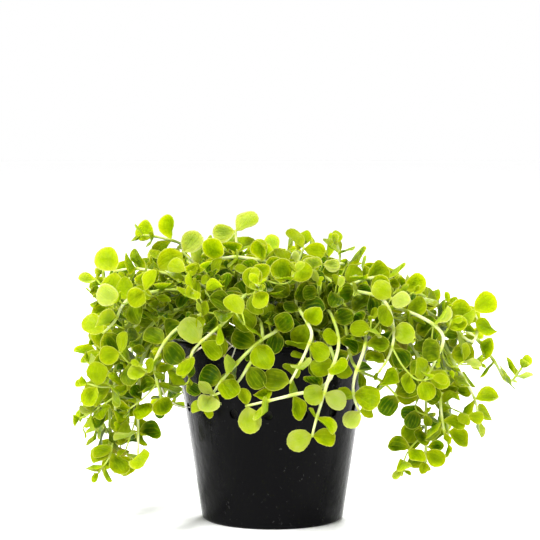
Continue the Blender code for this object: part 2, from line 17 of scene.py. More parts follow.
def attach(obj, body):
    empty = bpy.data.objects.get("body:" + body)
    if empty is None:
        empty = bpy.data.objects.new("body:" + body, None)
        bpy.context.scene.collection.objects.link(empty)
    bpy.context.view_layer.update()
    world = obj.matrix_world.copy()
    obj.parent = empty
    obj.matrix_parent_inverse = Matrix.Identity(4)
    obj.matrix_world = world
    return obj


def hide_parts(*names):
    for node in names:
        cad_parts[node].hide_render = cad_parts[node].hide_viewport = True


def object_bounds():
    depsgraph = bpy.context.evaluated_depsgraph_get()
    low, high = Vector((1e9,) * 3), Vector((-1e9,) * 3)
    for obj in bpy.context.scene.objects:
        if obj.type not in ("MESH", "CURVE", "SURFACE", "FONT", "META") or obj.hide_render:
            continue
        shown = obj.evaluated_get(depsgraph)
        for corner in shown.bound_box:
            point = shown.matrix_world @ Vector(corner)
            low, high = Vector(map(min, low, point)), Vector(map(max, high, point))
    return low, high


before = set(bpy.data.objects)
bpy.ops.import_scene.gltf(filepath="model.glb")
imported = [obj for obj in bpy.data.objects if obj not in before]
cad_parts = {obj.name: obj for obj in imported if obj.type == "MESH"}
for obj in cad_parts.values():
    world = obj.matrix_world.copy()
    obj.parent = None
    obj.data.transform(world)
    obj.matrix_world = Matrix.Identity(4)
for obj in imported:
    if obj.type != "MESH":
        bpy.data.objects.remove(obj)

MM = 0.001
BODY = "root"
CAD_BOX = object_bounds()
FULL_TURN = 2 * math.pi

log = logging.getLogger("potted plant")

Colour = tuple[float, float, float]
Span = tuple[float, float]
Marks = tuple[float, float, float]


def polar(radius: float, turn: float, height: float = 0.0) -> Vector:
    """The point at a radius, a turn from +X and a height."""
    return Vector((radius * math.cos(turn), radius * math.sin(turn), height))


# Shader maths


def maths(operation: str, swapped: bool = False) -> Callable[..., "Wire"]:
    """Makes an operator on Wires that adds a Math node.

    Args:
        operation: The node's operation.
        swapped: Whether the Wire comes after the other value.

    Returns:
        The operator.
    """

    def apply(wire: "Wire", *others: "Wire | float") -> "Wire":
        """Adds the node."""
        values = (*others, wire) if swapped else (wire, *others)
        return wire.sheet.node("ShaderNodeMath", dict(enumerate(values)), operation=operation)

    return apply


@dataclass(frozen=True)
class Wire:
    """A node socket that takes part in expressions."""

    sheet: "NodeSheet"
    socket: bpy.types.NodeSocket

    __add__ = __radd__ = maths("ADD")
    __sub__ = maths("SUBTRACT")
    __rsub__ = maths("SUBTRACT", swapped=True)
    __mul__ = __rmul__ = maths("MULTIPLY")
    __truediv__ = maths("DIVIDE")
    __pow__ = maths("POWER")
    __abs__ = maths("ABSOLUTE")

    def over(self, low: float, high: float) -> "Wire":
        """How far the value has gone from low to high, held between 0 and 1 and eased."""
        span = {0: self, 1: low, 2: high, 3: 0.0, 4: 1.0}
        return self.sheet.node("ShaderNodeMapRange", span, interpolation_type="SMOOTHSTEP")

    def below(self, low: float, high: float) -> "Wire":
        """The opposite of over: 1 up to low, and 0 from high on."""
        return 1 - self.over(low, high)


class NodeSheet:
    """One material's nodes, and the ways to add to them."""

    def __init__(self, name: str) -> None:
        """Makes a material with its Principled shader.

        Args:
            name: The material's name.
        """
        self.material = bpy.data.materials.new(name)
        self.material.use_nodes = True
        self.tree = self.material.node_tree
        self.shader = self.tree.nodes["Principled BSDF"]

    def node(
        self, kind: str, values: dict[int | str, object], output: int | str = 0, **settings: object
    ) -> Wire:
        """Adds a node, with its settings first and then the values or links of its sockets.

        Args:
            kind: The node's type.
            values: Sockets by name or number, each with a number, a colour or a Wire.
            output: The output to return.
            **settings: The node's own properties.

        Returns:
            The wanted output.
        """
        made = self.tree.nodes.new(kind)
        for key, value in settings.items():
            setattr(made, key, value)
        for key, value in values.items():
            self.plug(made.inputs[key], value)
        return Wire(self, made.outputs[output])

    def plug(self, socket: bpy.types.NodeSocket, value: object) -> None:
        """Links a Wire to a socket, or sets the socket's own value.

        Args:
            socket: The socket.
            value: A Wire, a number, a vector or a colour.
        """
        if isinstance(value, Wire):
            self.tree.links.new(value.socket, socket)
        elif socket.type == "RGBA":
            socket.default_value = (*value, 1.0)
        else:
            socket.default_value = value

    def surface(self, **values: object) -> bpy.types.Material:
        """Sets the shader's sockets.

        Args:
            **values: Sockets, named with underscores for spaces, each with its value.

        Returns:
            The material.
        """
        for key, value in values.items():
            self.plug(self.shader.inputs[key.replace("_", " ")], value)
        return self.material

    def mix(self, share: Wire, first: Wire | Colour, second: Wire | Colour) -> Wire:
        """Mixes two colours, with a share of the second."""
        return self.node("ShaderNodeMix", {0: share, 6: first, 7: second}, output=2, data_type="RGBA")

    def place(self) -> Wire:
        """The point on the piece, in metres."""
        return self.node("ShaderNodeTexCoord", {}, output="Object")

    def parts(self, vector: Wire) -> tuple[Wire, ...]:
        """A vector's three numbers."""
        first = self.node("ShaderNodeSeparateXYZ", {0: vector})
        return tuple(Wire(self, output) for output in first.socket.node.outputs)

    def attribute(self, name: str) -> tuple[Wire, ...]:
        """The three numbers of an attribute of the piece's points."""
        return self.parts(self.node("ShaderNodeAttribute", {}, output="Vector", attribute_name=name))

    def speckle(self, scale: float, detail: float, roughness: float = 0.5, distortion: float = 0.0) -> Wire:
        """Even noise between 0 and 1, with this many lumps to the metre."""
        values = {"Scale": scale, "Detail": detail, "Roughness": roughness, "Distortion": distortion}
        return self.node("ShaderNodeTexNoise", {"Vector": self.place(), **values})

    def bump(self, height: Wire, distance: float, strength: float) -> Wire:
        """A normal from a height between 0 and 1."""
        values = {"Strength": strength, "Distance": distance, "Height": height}
        return self.node("ShaderNodeBump", values, output="Normal")


# Finishes


@dataclass(frozen=True)
class LeafFinish:
    """Living leaf and stem: thin, lit through, veined, with a paler underside and a paler margin that is
    partly painted rim light, and with painted sunlight and shade in their colours.
    """

    # deep and bright are the ends of a leaf's green; where a leaf lies between them is partly chance and
    # partly painted shade
    deep: Colour = (0.019, 0.048, 0.0004)
    bright: Colour = (0.180, 0.260, 0.0)
    # Painted sunlight for the most open leaves
    sunlit: Colour = (0.30, 0.335, 0.11)
    young: Colour = (0.230, 0.290, 0.002)
    underside: Colour = (0.195, 0.285, 0.002)
    # A paler edge: partly the leaf's own colour, partly painted rim light
    margin: Colour = (0.35, 0.405, 0.03)
    vein: Colour = (0.28, 0.335, 0.008)
    spent: Colour = (0.15, 0.14, 0.012)
    stem: Colour = (0.66, 0.70, 0.37)
    # Painted shade: the colour that stems take deep in the plant
    stem_shade: Colour = (0.35, 0.44, 0.07)
    joint: Colour = (0.36, 0.45, 0.03)
    vein_rays: tuple[float, ...] = (0.0, 0.36, 0.70)
    vein_width: Span = (0.01, 0.09)
    through: float = 0.35
    through_reach: float = 1.4 * MM
    through_tint: Colour = (0.75, 1.0, 0.12)
    relief_depth: float = 0.6 * MM

    def material(self) -> bpy.types.Material:
        """The material for a stem with its leaves, from two attributes of their points.

        On a leaf, "blade" is its place across from -1 to 1, its place along from 0 to 1, and 1 on the upper
        side, and "look" is its tone, its age and 1, where the tone is partly its own and partly painted shade
        from the leaves before it. On a stem, the third number of "blade" is 1 at a joint, the first number of
        "look" is its own tone darkened by painted shade, and the third number of "look" is 0.

        Returns:
            The material.
        """
        sheet = NodeSheet("leaf and stem")
        across, along, upper = sheet.attribute("blade")
        tone, age, leafy = sheet.attribute("look")
        mottle = sheet.speckle(420.0, 3.0)
        cells = sheet.speckle(5200.0, 1.0)
        centred = along * 2 - 1
        radius = (across * across + centred * centred) ** 0.5
        spread = (1.02 - centred * centred).over(0.0, 1.0) ** 0.5 + 0.02
        ray = abs(across) / spread
        lines = [abs(ray - place).below(*self.vein_width) for place in self.vein_rays]
        veins = sum(lines[1:], lines[0]) * radius.below(0.70, 0.97) * along.over(-0.05, 0.2)
        # Painted shade: leaves with many leaves before them are painted deep green, open ones bright
        body = sheet.mix((tone * 0.95 + mottle * 0.6).over(0.32, 1.14), self.deep, self.bright)
        # Young leaves turn yellow only where the painted shade is light; in painted shade they stay green
        body = sheet.mix(age.below(0.0, 0.42) * tone.over(0.15, 0.7) * 0.75, body, self.young)
        # Painted sunlight: the most open leaves are painted paler, more so towards their rim
        body = sheet.mix((tone + mottle * 0.3).over(0.88, 1.16) * (radius * 0.3 + 0.3), body, self.sunlit)
        body = sheet.mix(along.below(0.0, 0.35) * 0.35, body, self.vein)
        body = sheet.mix(veins * mottle.over(0.2, 0.7) * 0.22, body, self.vein)
        # Paler edge, partly the leaf's own colour and partly painted rim light
        body = sheet.mix(radius.over(0.90, 1.0) * 0.8, body, self.margin)
        body = sheet.mix(upper.below(0.495, 0.505) * 0.6, body, self.underside)
        body = sheet.mix(age.over(0.93, 0.99), body, self.spent)
        # Painted shade: stems deep in the plant are painted greener and darker, the open ones paler
        stalk = sheet.mix(tone.over(0.2, 0.9), self.stem_shade, self.stem)
        stalk = sheet.mix(upper, stalk, self.joint)
        relief = (1 - veins) * 0.09 + cells * 0.08 + mottle
        return sheet.surface(
            Base_Color=sheet.mix(leafy, stalk, body),
            Roughness=0.26 + mottle * 0.14 + (1 - leafy) * 0.15,
            Normal=sheet.bump(relief, self.relief_depth, 0.8),
            IOR=1.4,
            Specular_IOR_Level=0.03,
            Subsurface_Weight=self.through,
            Subsurface_Scale=self.through_reach,
            Subsurface_Radius=self.through_tint,
        )


@dataclass(frozen=True)
class PotFinish:
    """Glossy black moulded plastic with a fine grain, faint flow marks and dried splashes."""

    plastic: Colour = (0.0018, 0.0018, 0.0022)
    dust: Colour = (0.12, 0.12, 0.115)
    relief_depth: float = 0.22 * MM

    def material(self) -> bpy.types.Material:
        """Makes the pot's material.

        Returns:
            The material.
        """
        sheet = NodeSheet("black pot plastic")
        grain = sheet.speckle(2600.0, 3.0, 0.6)
        flow = sheet.speckle(120.0, 3.0)
        blotch = sheet.speckle(340.0, 2.0, 0.4)
        splash = sheet.speckle(700.0, 4.0, 0.65)
        spots = splash.over(0.62, 0.72) * flow.over(0.4, 0.6)
        return sheet.surface(
            Base_Color=sheet.mix(spots * 0.2 + grain * 0.008, self.plastic, self.dust),
            Roughness=0.12 + grain * 0.08 + spots * 0.3,
            IOR=1.45,
            Specular_IOR_Level=0.055,
            Normal=sheet.bump(grain * 0.15 + blotch * 0.85, self.relief_depth, 0.8),
        )


@dataclass(frozen=True)
class MediumFinish:
    """Damp fibrous plug, brown with green algae on top, with painted shade that makes it nearly black down in
    the pot.
    """

    # Painted shade: nearly black, for the plug down in the pot
    painted_pot_shade: Colour = (0.004, 0.003, 0.002)
    dark: Colour = (0.018, 0.013, 0.006)
    pale: Colour = (0.085, 0.063, 0.03)
    algae: Colour = (0.035, 0.06, 0.008)
    # Heights over which the painted shade fades out, going up
    shade_fade_heights: Span = (40.0 * MM, 46.0 * MM)
    relief_depth: float = 0.5 * MM

    def material(self) -> bpy.types.Material:
        """Makes the plug's material.

        Returns:
            The material.
        """
        sheet = NodeSheet("damp fibre")
        clumps = sheet.speckle(380.0, 4.0, 0.6)
        fibres = sheet.speckle(1500.0, 4.0, distortion=2.5)
        _, _, height = sheet.parts(sheet.place())
        body = sheet.mix(fibres.over(0.3, 0.75), self.dark, self.pale)
        # Painted shade: the plug darkens to nearly black below its top few millimetres
        body = sheet.mix(height.over(*self.shade_fade_heights), self.painted_pot_shade, body)
        return sheet.surface(
            Base_Color=sheet.mix(clumps.over(0.45, 0.7) * 0.5, body, self.algae),
            Roughness=0.75 + fibres * 0.2,
            Normal=sheet.bump(fibres * 0.6 + clumps * 0.4, self.relief_depth, 0.9),
        )


@dataclass(frozen=True)
class RootFinish:
    """Fine roots, white with tan stretches."""

    white: Colour = (0.92, 0.88, 0.70)
    tan: Colour = (0.42, 0.26, 0.09)
    relief_depth: float = 0.05 * MM

    def material(self) -> bpy.types.Material:
        """Makes the roots' material.

        Returns:
            The material.
        """
        sheet = NodeSheet("fine root")
        tone = sheet.speckle(160.0, 2.0)
        grain = sheet.speckle(3000.0, 2.0)
        return sheet.surface(
            Base_Color=sheet.mix(tone.over(0.48, 0.7), self.white, self.tan),
            Roughness=0.55 + grain * 0.2,
            Normal=sheet.bump(grain, self.relief_depth, 0.5),
        )


@dataclass(frozen=True)
class FloorFinish:
    """Plain pale board."""

    board: Colour = (0.985, 0.985, 0.985)
    grain: Colour = (0.94, 0.94, 0.94)

    def material(self) -> bpy.types.Material:
        """Makes the floor's material.

        Returns:
            The material.
        """
        sheet = NodeSheet("pale board")
        speckle = sheet.speckle(90.0, 2.0)
        return sheet.surface(
            Base_Color=sheet.mix(speckle * 0.04, self.board, self.grain),
            Roughness=0.7 + speckle * 0.05,
        )


# Growth


class Stand(Enum):
    """The kinds of arched stem: azimuth in degrees, then reach, crest and tip height in millimetres."""

    TRAILING = (
        (178, 46, 66, 28), (190, 45, 62, 17), (203, 45, 60, 24), (216, 45, 59, 20), (2, 47, 62, 32),
        (-12, 50, 59, 22), (-24, 52, 60, 26), (-37, 46, 59, 18), (20, 50, 64, 24), (46, 52, 67, 30),
        (70, 54, 68, 26), (94, 50, 69, 34), (118, 52, 68, 24), (142, 52, 68, 30), (162, 51, 67, 22),
    )
    SHOULDER = (
        (12, 44, 65, 50), (38, 42, 68, 55), (62, 40, 71, 58), (88, 42, 72, 55),
        (112, 40, 72, 58), (134, 42, 71, 55), (158, 43, 70, 53), (184, 43, 70, 51),
    )
    CROWN = (
        (30, 24, 71, 67), (75, 18, 73, 69), (120, 24, 72, 67), (165, 22, 74, 69), (235, 30, 69, 60),
        (262, 29, 69, 60), (285, 27, 70, 64), (305, 31, 68, 60), (335, 26, 71, 65), (320, 12, 74, 71),
    )


# The stems that the front shows: points in millimetres from the crown to the tip
FRONT_STEMS = {
    "twin_leaf": ((-6, -10, 61), (-9, -12, 71), (-10, -12, 81)),
    "folded_leaf": ((5, -10, 61), (7, -10, 71), (9, -10, 76)),
    "arch_over": ((8, -11, 60), (4, -15, 69), (-9, -20, 73), (-18, -24, 71), (-26, -27, 66)),
    "bud": ((13, -6, 63), (18, -8, 71), (17, -8, 77)),
    "left_crown": ((-10, -6, 60), (-19, -12, 69), (-25, -15, 75)),
    "cross_tip": ((-13, 2, 63), (-23, 0, 74), (-30, -2, 77), (-36, -4, 78)),
    "left_upper": ((-13, -12, 61), (-22, -18, 67), (-30, -20, 69), (-37, -20, 70), (-43, -20, 69)),
    "left_mid": ((-11, -20, 62), (-25, -28, 65), (-37, -30, 63), (-41, -30, 57), (-45, -28, 53)),
    "left_low": ((-14, -14, 58), (-27, -24, 59), (-36, -26, 51), (-40, -26, 49), (-46, -22, 49)),
    "left_trail": ((-16, -6, 58), (-36, -12, 56), (-47, -14, 42), (-46, -12, 29), (-43, -10, 23)),
    "left_inner": ((-10, -22, 61), (-24, -34, 56), (-30, -36, 48), (-30, -36, 43), (-28, -32, 34)),
    "front_long": ((-5, -24, 61), (-7, -33, 64), (-12, -40, 58), (-20, -42, 51), (-21, -40, 45)),
    "pot_cross_a": ((3, -22, 57), (1, -34, 55), (-4, -38, 52), (-12, -40, 44), (-18, -38, 35)),
    "pot_cross_b": ((-4, -22, 57), (-3, -33, 52), (-6, -38, 46), (-10, -40, 41), (-16, -42, 39)),
    "pot_cross_c": ((12, -24, 54), (16, -36, 47), (13, -38, 41), (5, -40, 39), (-8, -41, 36)),
    "front_mid": ((7, -24, 60), (10, -36, 55), (9, -38, 51), (6, -40, 45), (4, -38, 41)),
    "front_right": ((15, -22, 59), (17, -36, 52), (14, -40, 42), (11, -40, 32), (10, -38, 27)),
    "front_drop": ((20, -20, 59), (24, -34, 53), (21, -38, 43), (21, -38, 38), (23, -36, 33)),
    "right_bar": ((19, -16, 56), (21, -32, 46), (28, -34, 42), (33, -32, 37)),
    "right_mid": ((15, -16, 63), (27, -30, 63), (32, -34, 55), (30, -34, 49), (27, -34, 43)),
    "right_round": ((17, -12, 60), (33, -27, 60), (44, -30, 54), (42, -30, 46), (38, -28, 38)),
    "right_upper": ((14, -12, 63), (25, -20, 67), (31, -21, 66), (36, -22, 63)),
    "right_pair": ((16, -8, 61), (34, -14, 62), (47, -16, 54), (53, -16, 50), (55, -15, 55), (53, -15, 60)),
    "right_trail": ((17, 0, 59), (37, -4, 63), (54, -6, 51), (60, -6, 44), (64, -6, 38), (68, -8, 43)),
    "right_low": ((17, -6, 58), (39, -16, 57), (49, -20, 45), (53, -20, 36), (55, -18, 29)),
}


@dataclass
class PotShape:
    """The sizes of the pot and its plug, as their solids have them."""

    height: float = 50.0 * MM
    top_radius: float = 27.0 * MM
    foot_radius: float = 19.4 * MM
    wall: float = 1.0 * MM
    floor: float = 1.6 * MM
    foot_chamfer: float = 1.0 * MM
    lip_width: float = 1.0 * MM
    lip_height: float = 1.6 * MM
    hole_radius: float = 1.25 * MM
    hole_height: float = 31.5 * MM
    holes: int = 16
    front_hole: float = math.radians(-92.7)
    solid_sides: int = 32
    gap: float = 0.3 * MM
    medium_top: float = 46.5 * MM
    medium_dome: float = 1.5 * MM

    def outer_radius(self, height: float) -> float:
        """The radius of the outer wall at a height."""
        share = min(max(height / self.height, 0.0), 1.0)
        return self.foot_radius + (self.top_radius - self.foot_radius) * share

    def medium_radius(self, height: float) -> float:
        """The radius of the plug at a height."""
        return (self.outer_radius(height) - self.wall - self.gap) * math.cos(math.pi / self.solid_sides)

    def medium_height(self, radius: float) -> float:
        """The height of the plug's top at a radius."""
        share = min(radius / self.medium_radius(self.medium_top), 1.0)
        return self.medium_top + self.medium_dome * (1 - share * share)

    def holds(self, point: Sequence[float], space: float) -> bool:
        """Whether a point lies in the pot or its plug, or closer to them than a space.

        Args:
            point: Where to look.
            space: The distance to keep.

        Returns:
            True where nothing may grow.
        """
        radius, height = math.hypot(point[0], point[1]), point[2]
        if height > self.height + space:
            return False
        lip = self.lip_width if height > self.height - self.lip_height - space else 0.0
        if radius > self.outer_radius(height) + lip + space:
            return False
        inside = radius < self.outer_radius(height) - self.wall - space
        return not (inside and height > self.medium_height(radius) + space)


@dataclass
class Joint:
    """A place on a stem where a pair of leaves grows, and how the pair stands."""

    point: Vector
    along: Vector
    from_tip: float
    turn: float
    size: float
    lean: float
    shown: bool
    on_shoot: bool


@dataclass
class Leaf:
    """One leaf: its foot, its direction, the way that it faces, the side that it left from, its length.

    A round disc keeps its place free.
    """

    base: Vector
    axis: Vector
    normal: Vector
    away: Vector
    length: float

    RIM_POINTS = 12
    DISC_MIDDLE = 0.55
    DISC_RADIUS = 0.5

    @property
    def half(self) -> float:
        """The disc's radius."""
        return self.length * self.DISC_RADIUS

    @cached_property
    def centre(self) -> np.ndarray:
        """The disc's middle."""
        return np.array(self.base + self.axis * self.length * self.DISC_MIDDLE)

    @cached_property
    def rim(self) -> np.ndarray:
        """Points around the disc's edge."""
        turns = np.arange(self.RIM_POINTS) * FULL_TURN / self.RIM_POINTS
        across = self.normal.cross(self.axis)
        around = np.outer(np.cos(turns), self.axis) + np.outer(np.sin(turns), across)
        return self.centre + self.half * around


@dataclass
class LeafPair:
    """The leaves at one joint of a stem, by side."""

    from_tip: float
    away: Vector | None = None
    leaves: dict[int, Leaf] = field(default_factory=dict)


@dataclass
class StemLine:
    """A stem's course from its root to its tip, as evenly spaced points, and its main stem's number."""

    points: list[Vector]
    owner: int = 0

    CURVE_STEPS = 16

    @classmethod
    def through(cls, points: Sequence[Vector], spacing: float, owner: int = 0) -> "StemLine":
        """The Catmull-Rom curve through some points.

        Args:
            points: The points to pass.
            spacing: About how far apart the line's own points are.
            owner: The main stem's number.

        Returns:
            The line.
        """
        ends = [2 * points[0] - points[1], *points, 2 * points[-1] - points[-2]]
        fine = []
        for a, b, c, d in zip(ends, ends[1:], ends[2:], ends[3:]):
            bend = 2 * a - 5 * b + 4 * c - d
            twist = 3 * b - a - 3 * c + d
            for step in range(cls.CURVE_STEPS):
                t = step / cls.CURVE_STEPS
                fine.append((2 * b + (c - a) * t + bend * t * t + twist * t**3) / 2)
        fine.append(points[-1])
        lengths = [0.0]
        for a, b in zip(fine, fine[1:]):
            lengths.append(lengths[-1] + (b - a).length)
        count = max(2, round(lengths[-1] / spacing))
        line = []
        place = 0
        for step in range(count + 1):
            goal = lengths[-1] * step / count
            while place < len(fine) - 2 and lengths[place + 1] < goal:
                place += 1
            share = (goal - lengths[place]) / max(lengths[place + 1] - lengths[place], 1e-9)
            line.append(fine[place].lerp(fine[place + 1], min(share, 1.0)))
        return cls(line, owner)

    @property
    def spacing(self) -> float:
        """How far apart the points are."""
        return (self.points[1] - self.points[0]).length

    @property
    def length(self) -> float:
        """The stem's length."""
        return self.spacing * (len(self.points) - 1)

    def at(self, from_tip: float) -> tuple[Vector, Vector]:
        """The point at a distance from the tip.

        Args:
            from_tip: The distance along the stem.

        Returns:
            The point, and the stem's direction there.
        """
        place = max(len(self.points) - 1 - from_tip / self.spacing, 0.0)
        lower = min(int(place), len(self.points) - 2)
        point = self.points[lower].lerp(self.points[lower + 1], place - lower)
        before = self.points[max(lower - 1, 0)]
        after = self.points[min(lower + 2, len(self.points) - 1)]
        return point, (after - before).normalized()


@dataclass
class Shoot:
    """A stem or side shoot with its leaves."""

    line: StemLine
    pairs: list[LeafPair]
    radius: float

    TIP_STUB = 0.4

    def from_tip(self, place: int) -> float:
        """How far a point of the line is from the tip."""
        return self.line.length - place * self.line.spacing

    def nearness(self, place: int, reach: float) -> list[float]:
        """How near a point of the line is to each pair of leaves, from 0 to 1."""
        here = self.from_tip(place)
        return [math.exp(-(((here - pair.from_tip) / reach) ** 2)) for pair in self.pairs]

    def trimmed(self) -> "Shoot":
        """Takes off a bare end beyond the first leaves.

        Returns:
            The shoot, as it is if it ends in leaves or has none.
        """
        leafy = [pair for pair in self.pairs if pair.leaves]
        spare = int(leafy[0].from_tip / self.line.spacing - self.TIP_STUB) if leafy else 0
        if spare < 1:
            return self
        cut = spare * self.line.spacing
        pairs = [LeafPair(pair.from_tip - cut, pair.away, pair.leaves) for pair in leafy]
        return Shoot(StemLine(self.line.points[:-spare], self.line.owner), pairs, self.radius)


@dataclass
class Thicket:
    """What has grown so far: each stem as beads and each leaf as a round disc, to keep new growth clear."""

    pot: PotShape
    stem_radius: float = 0.55 * MM
    stem_space: float = 1.7 * MM
    leaf_space: float = 0.55 * MM
    shoot_space: float = 0.7 * MM
    floor_space: float = 8.0 * MM
    own_stem_share: float = 0.45

    def __post_init__(self) -> None:
        """Starts with nothing grown."""
        self.beads = np.zeros((0, 3))
        self.bead_owner = np.zeros(0, int)
        self.centres = np.zeros((0, 3))
        self.normals = np.zeros((0, 3))
        self.radii = np.zeros(0)
        self.rims = np.zeros((0, Leaf.RIM_POINTS, 3))

    def add_stem(self, line: StemLine) -> None:
        """Notes a stem."""
        self.beads = np.vstack([self.beads, np.array(line.points)])
        self.bead_owner = np.append(self.bead_owner, [line.owner] * len(line.points))

    def add_leaf(self, leaf: Leaf) -> None:
        """Notes a leaf.

        Args:
            leaf: The leaf, which has found room.
        """
        self.centres = np.vstack([self.centres, leaf.centre])
        self.normals = np.vstack([self.normals, np.array(leaf.normal)])
        self.radii = np.append(self.radii, leaf.half)
        self.rims = np.concatenate([self.rims, leaf.rim[None, :, :]])

    def beads_are_clear(self, points: Sequence[Vector], space: float) -> bool:
        """Whether points keep a space to every stem."""
        apart = np.linalg.norm(np.array(points)[:, None, :] - self.beads[None, :, :], axis=2)
        return apart.min(initial=math.inf) > space

    def shoot_is_clear(self, line: StemLine) -> bool:
        """Whether a side shoot, past its first stretch, is clear of pot, floor, stems and leaves.

        Args:
            line: The shoot's course.

        Returns:
            True where the shoot can grow.
        """
        space, free = self.shoot_space, line.points[2:]
        if any(self.pot.holds(point, space) or point.z < self.floor_space for point in free):
            return False
        if not self.beads_are_clear(free, space):
            return False
        offset = np.array(free)[:, None, :] - self.centres[None, :, :]
        height = np.einsum("ijk,jk->ij", offset, self.normals)
        reach = np.sqrt(np.maximum((offset**2).sum(2) - height**2, 0))
        close = (np.abs(height) < space) & (reach < self.radii[None, :])
        return not close.any()

    def leaf_is_clear(self, leaf: Leaf, owner: int) -> bool:
        """Whether a leaf keeps clear of the pot, the floor, every stem and every other leaf.

        Args:
            leaf: The leaf to try.
            owner: The number of the stem that it grows from.

        Returns:
            True where the leaf can grow.
        """
        low = leaf.rim[:, 2].min() < self.floor_space
        if low or any(self.pot.holds(point, self.leaf_space) for point in leaf.rim):
            return False
        normal = np.array(leaf.normal)
        offset = self.beads - leaf.centre
        height = np.abs(offset @ normal)
        reach = np.sqrt(np.maximum((offset**2).sum(1) - height**2, 0))
        from_base = np.linalg.norm(self.beads - np.array(leaf.base), axis=1)
        own_stem = (self.bead_owner == owner) & (from_base < self.own_stem_share * leaf.length)
        beside = (height < self.stem_radius + self.leaf_space) & (reach < leaf.half + self.stem_radius)
        if (beside & ~own_stem).any():
            return False
        near = np.linalg.norm(self.centres - leaf.centre, axis=1) < leaf.half + self.radii + self.leaf_space
        centres = self.centres[near]
        if self.edge_meets(leaf.rim[None, :, :] - centres[:, None, :], self.normals[near], self.radii[near]):
            return False
        own = np.repeat(normal[None, :], len(centres), axis=0)
        return not self.edge_meets(self.rims[near] - leaf.centre, own, np.full(len(centres), leaf.half))

    def edge_meets(self, offset: np.ndarray, normals: np.ndarray, radii: np.ndarray) -> bool:
        """Whether edges pass through discs or lie too close to them.

        Args:
            offset: For each disc, an edge's points from the disc's middle.
            normals: The way that each disc faces.
            radii: Each disc's radius.

        Returns:
            True where one does.
        """
        height = np.einsum("ijk,ik->ij", offset, normals)
        flat = offset - height[:, :, None] * normals[:, None, :]
        close = (np.abs(height) < self.leaf_space) & (np.linalg.norm(flat, axis=2) < radii[:, None])
        following = np.roll(height, -1, axis=1)
        crosses = height * following < 0
        share = height / np.where(crosses, height - following, 1.0)
        where = flat + (np.roll(flat, -1, axis=1) - flat) * share[:, :, None]
        through = crosses & (np.linalg.norm(where, axis=2) < radii[:, None])
        return bool(close.any() or through.any())


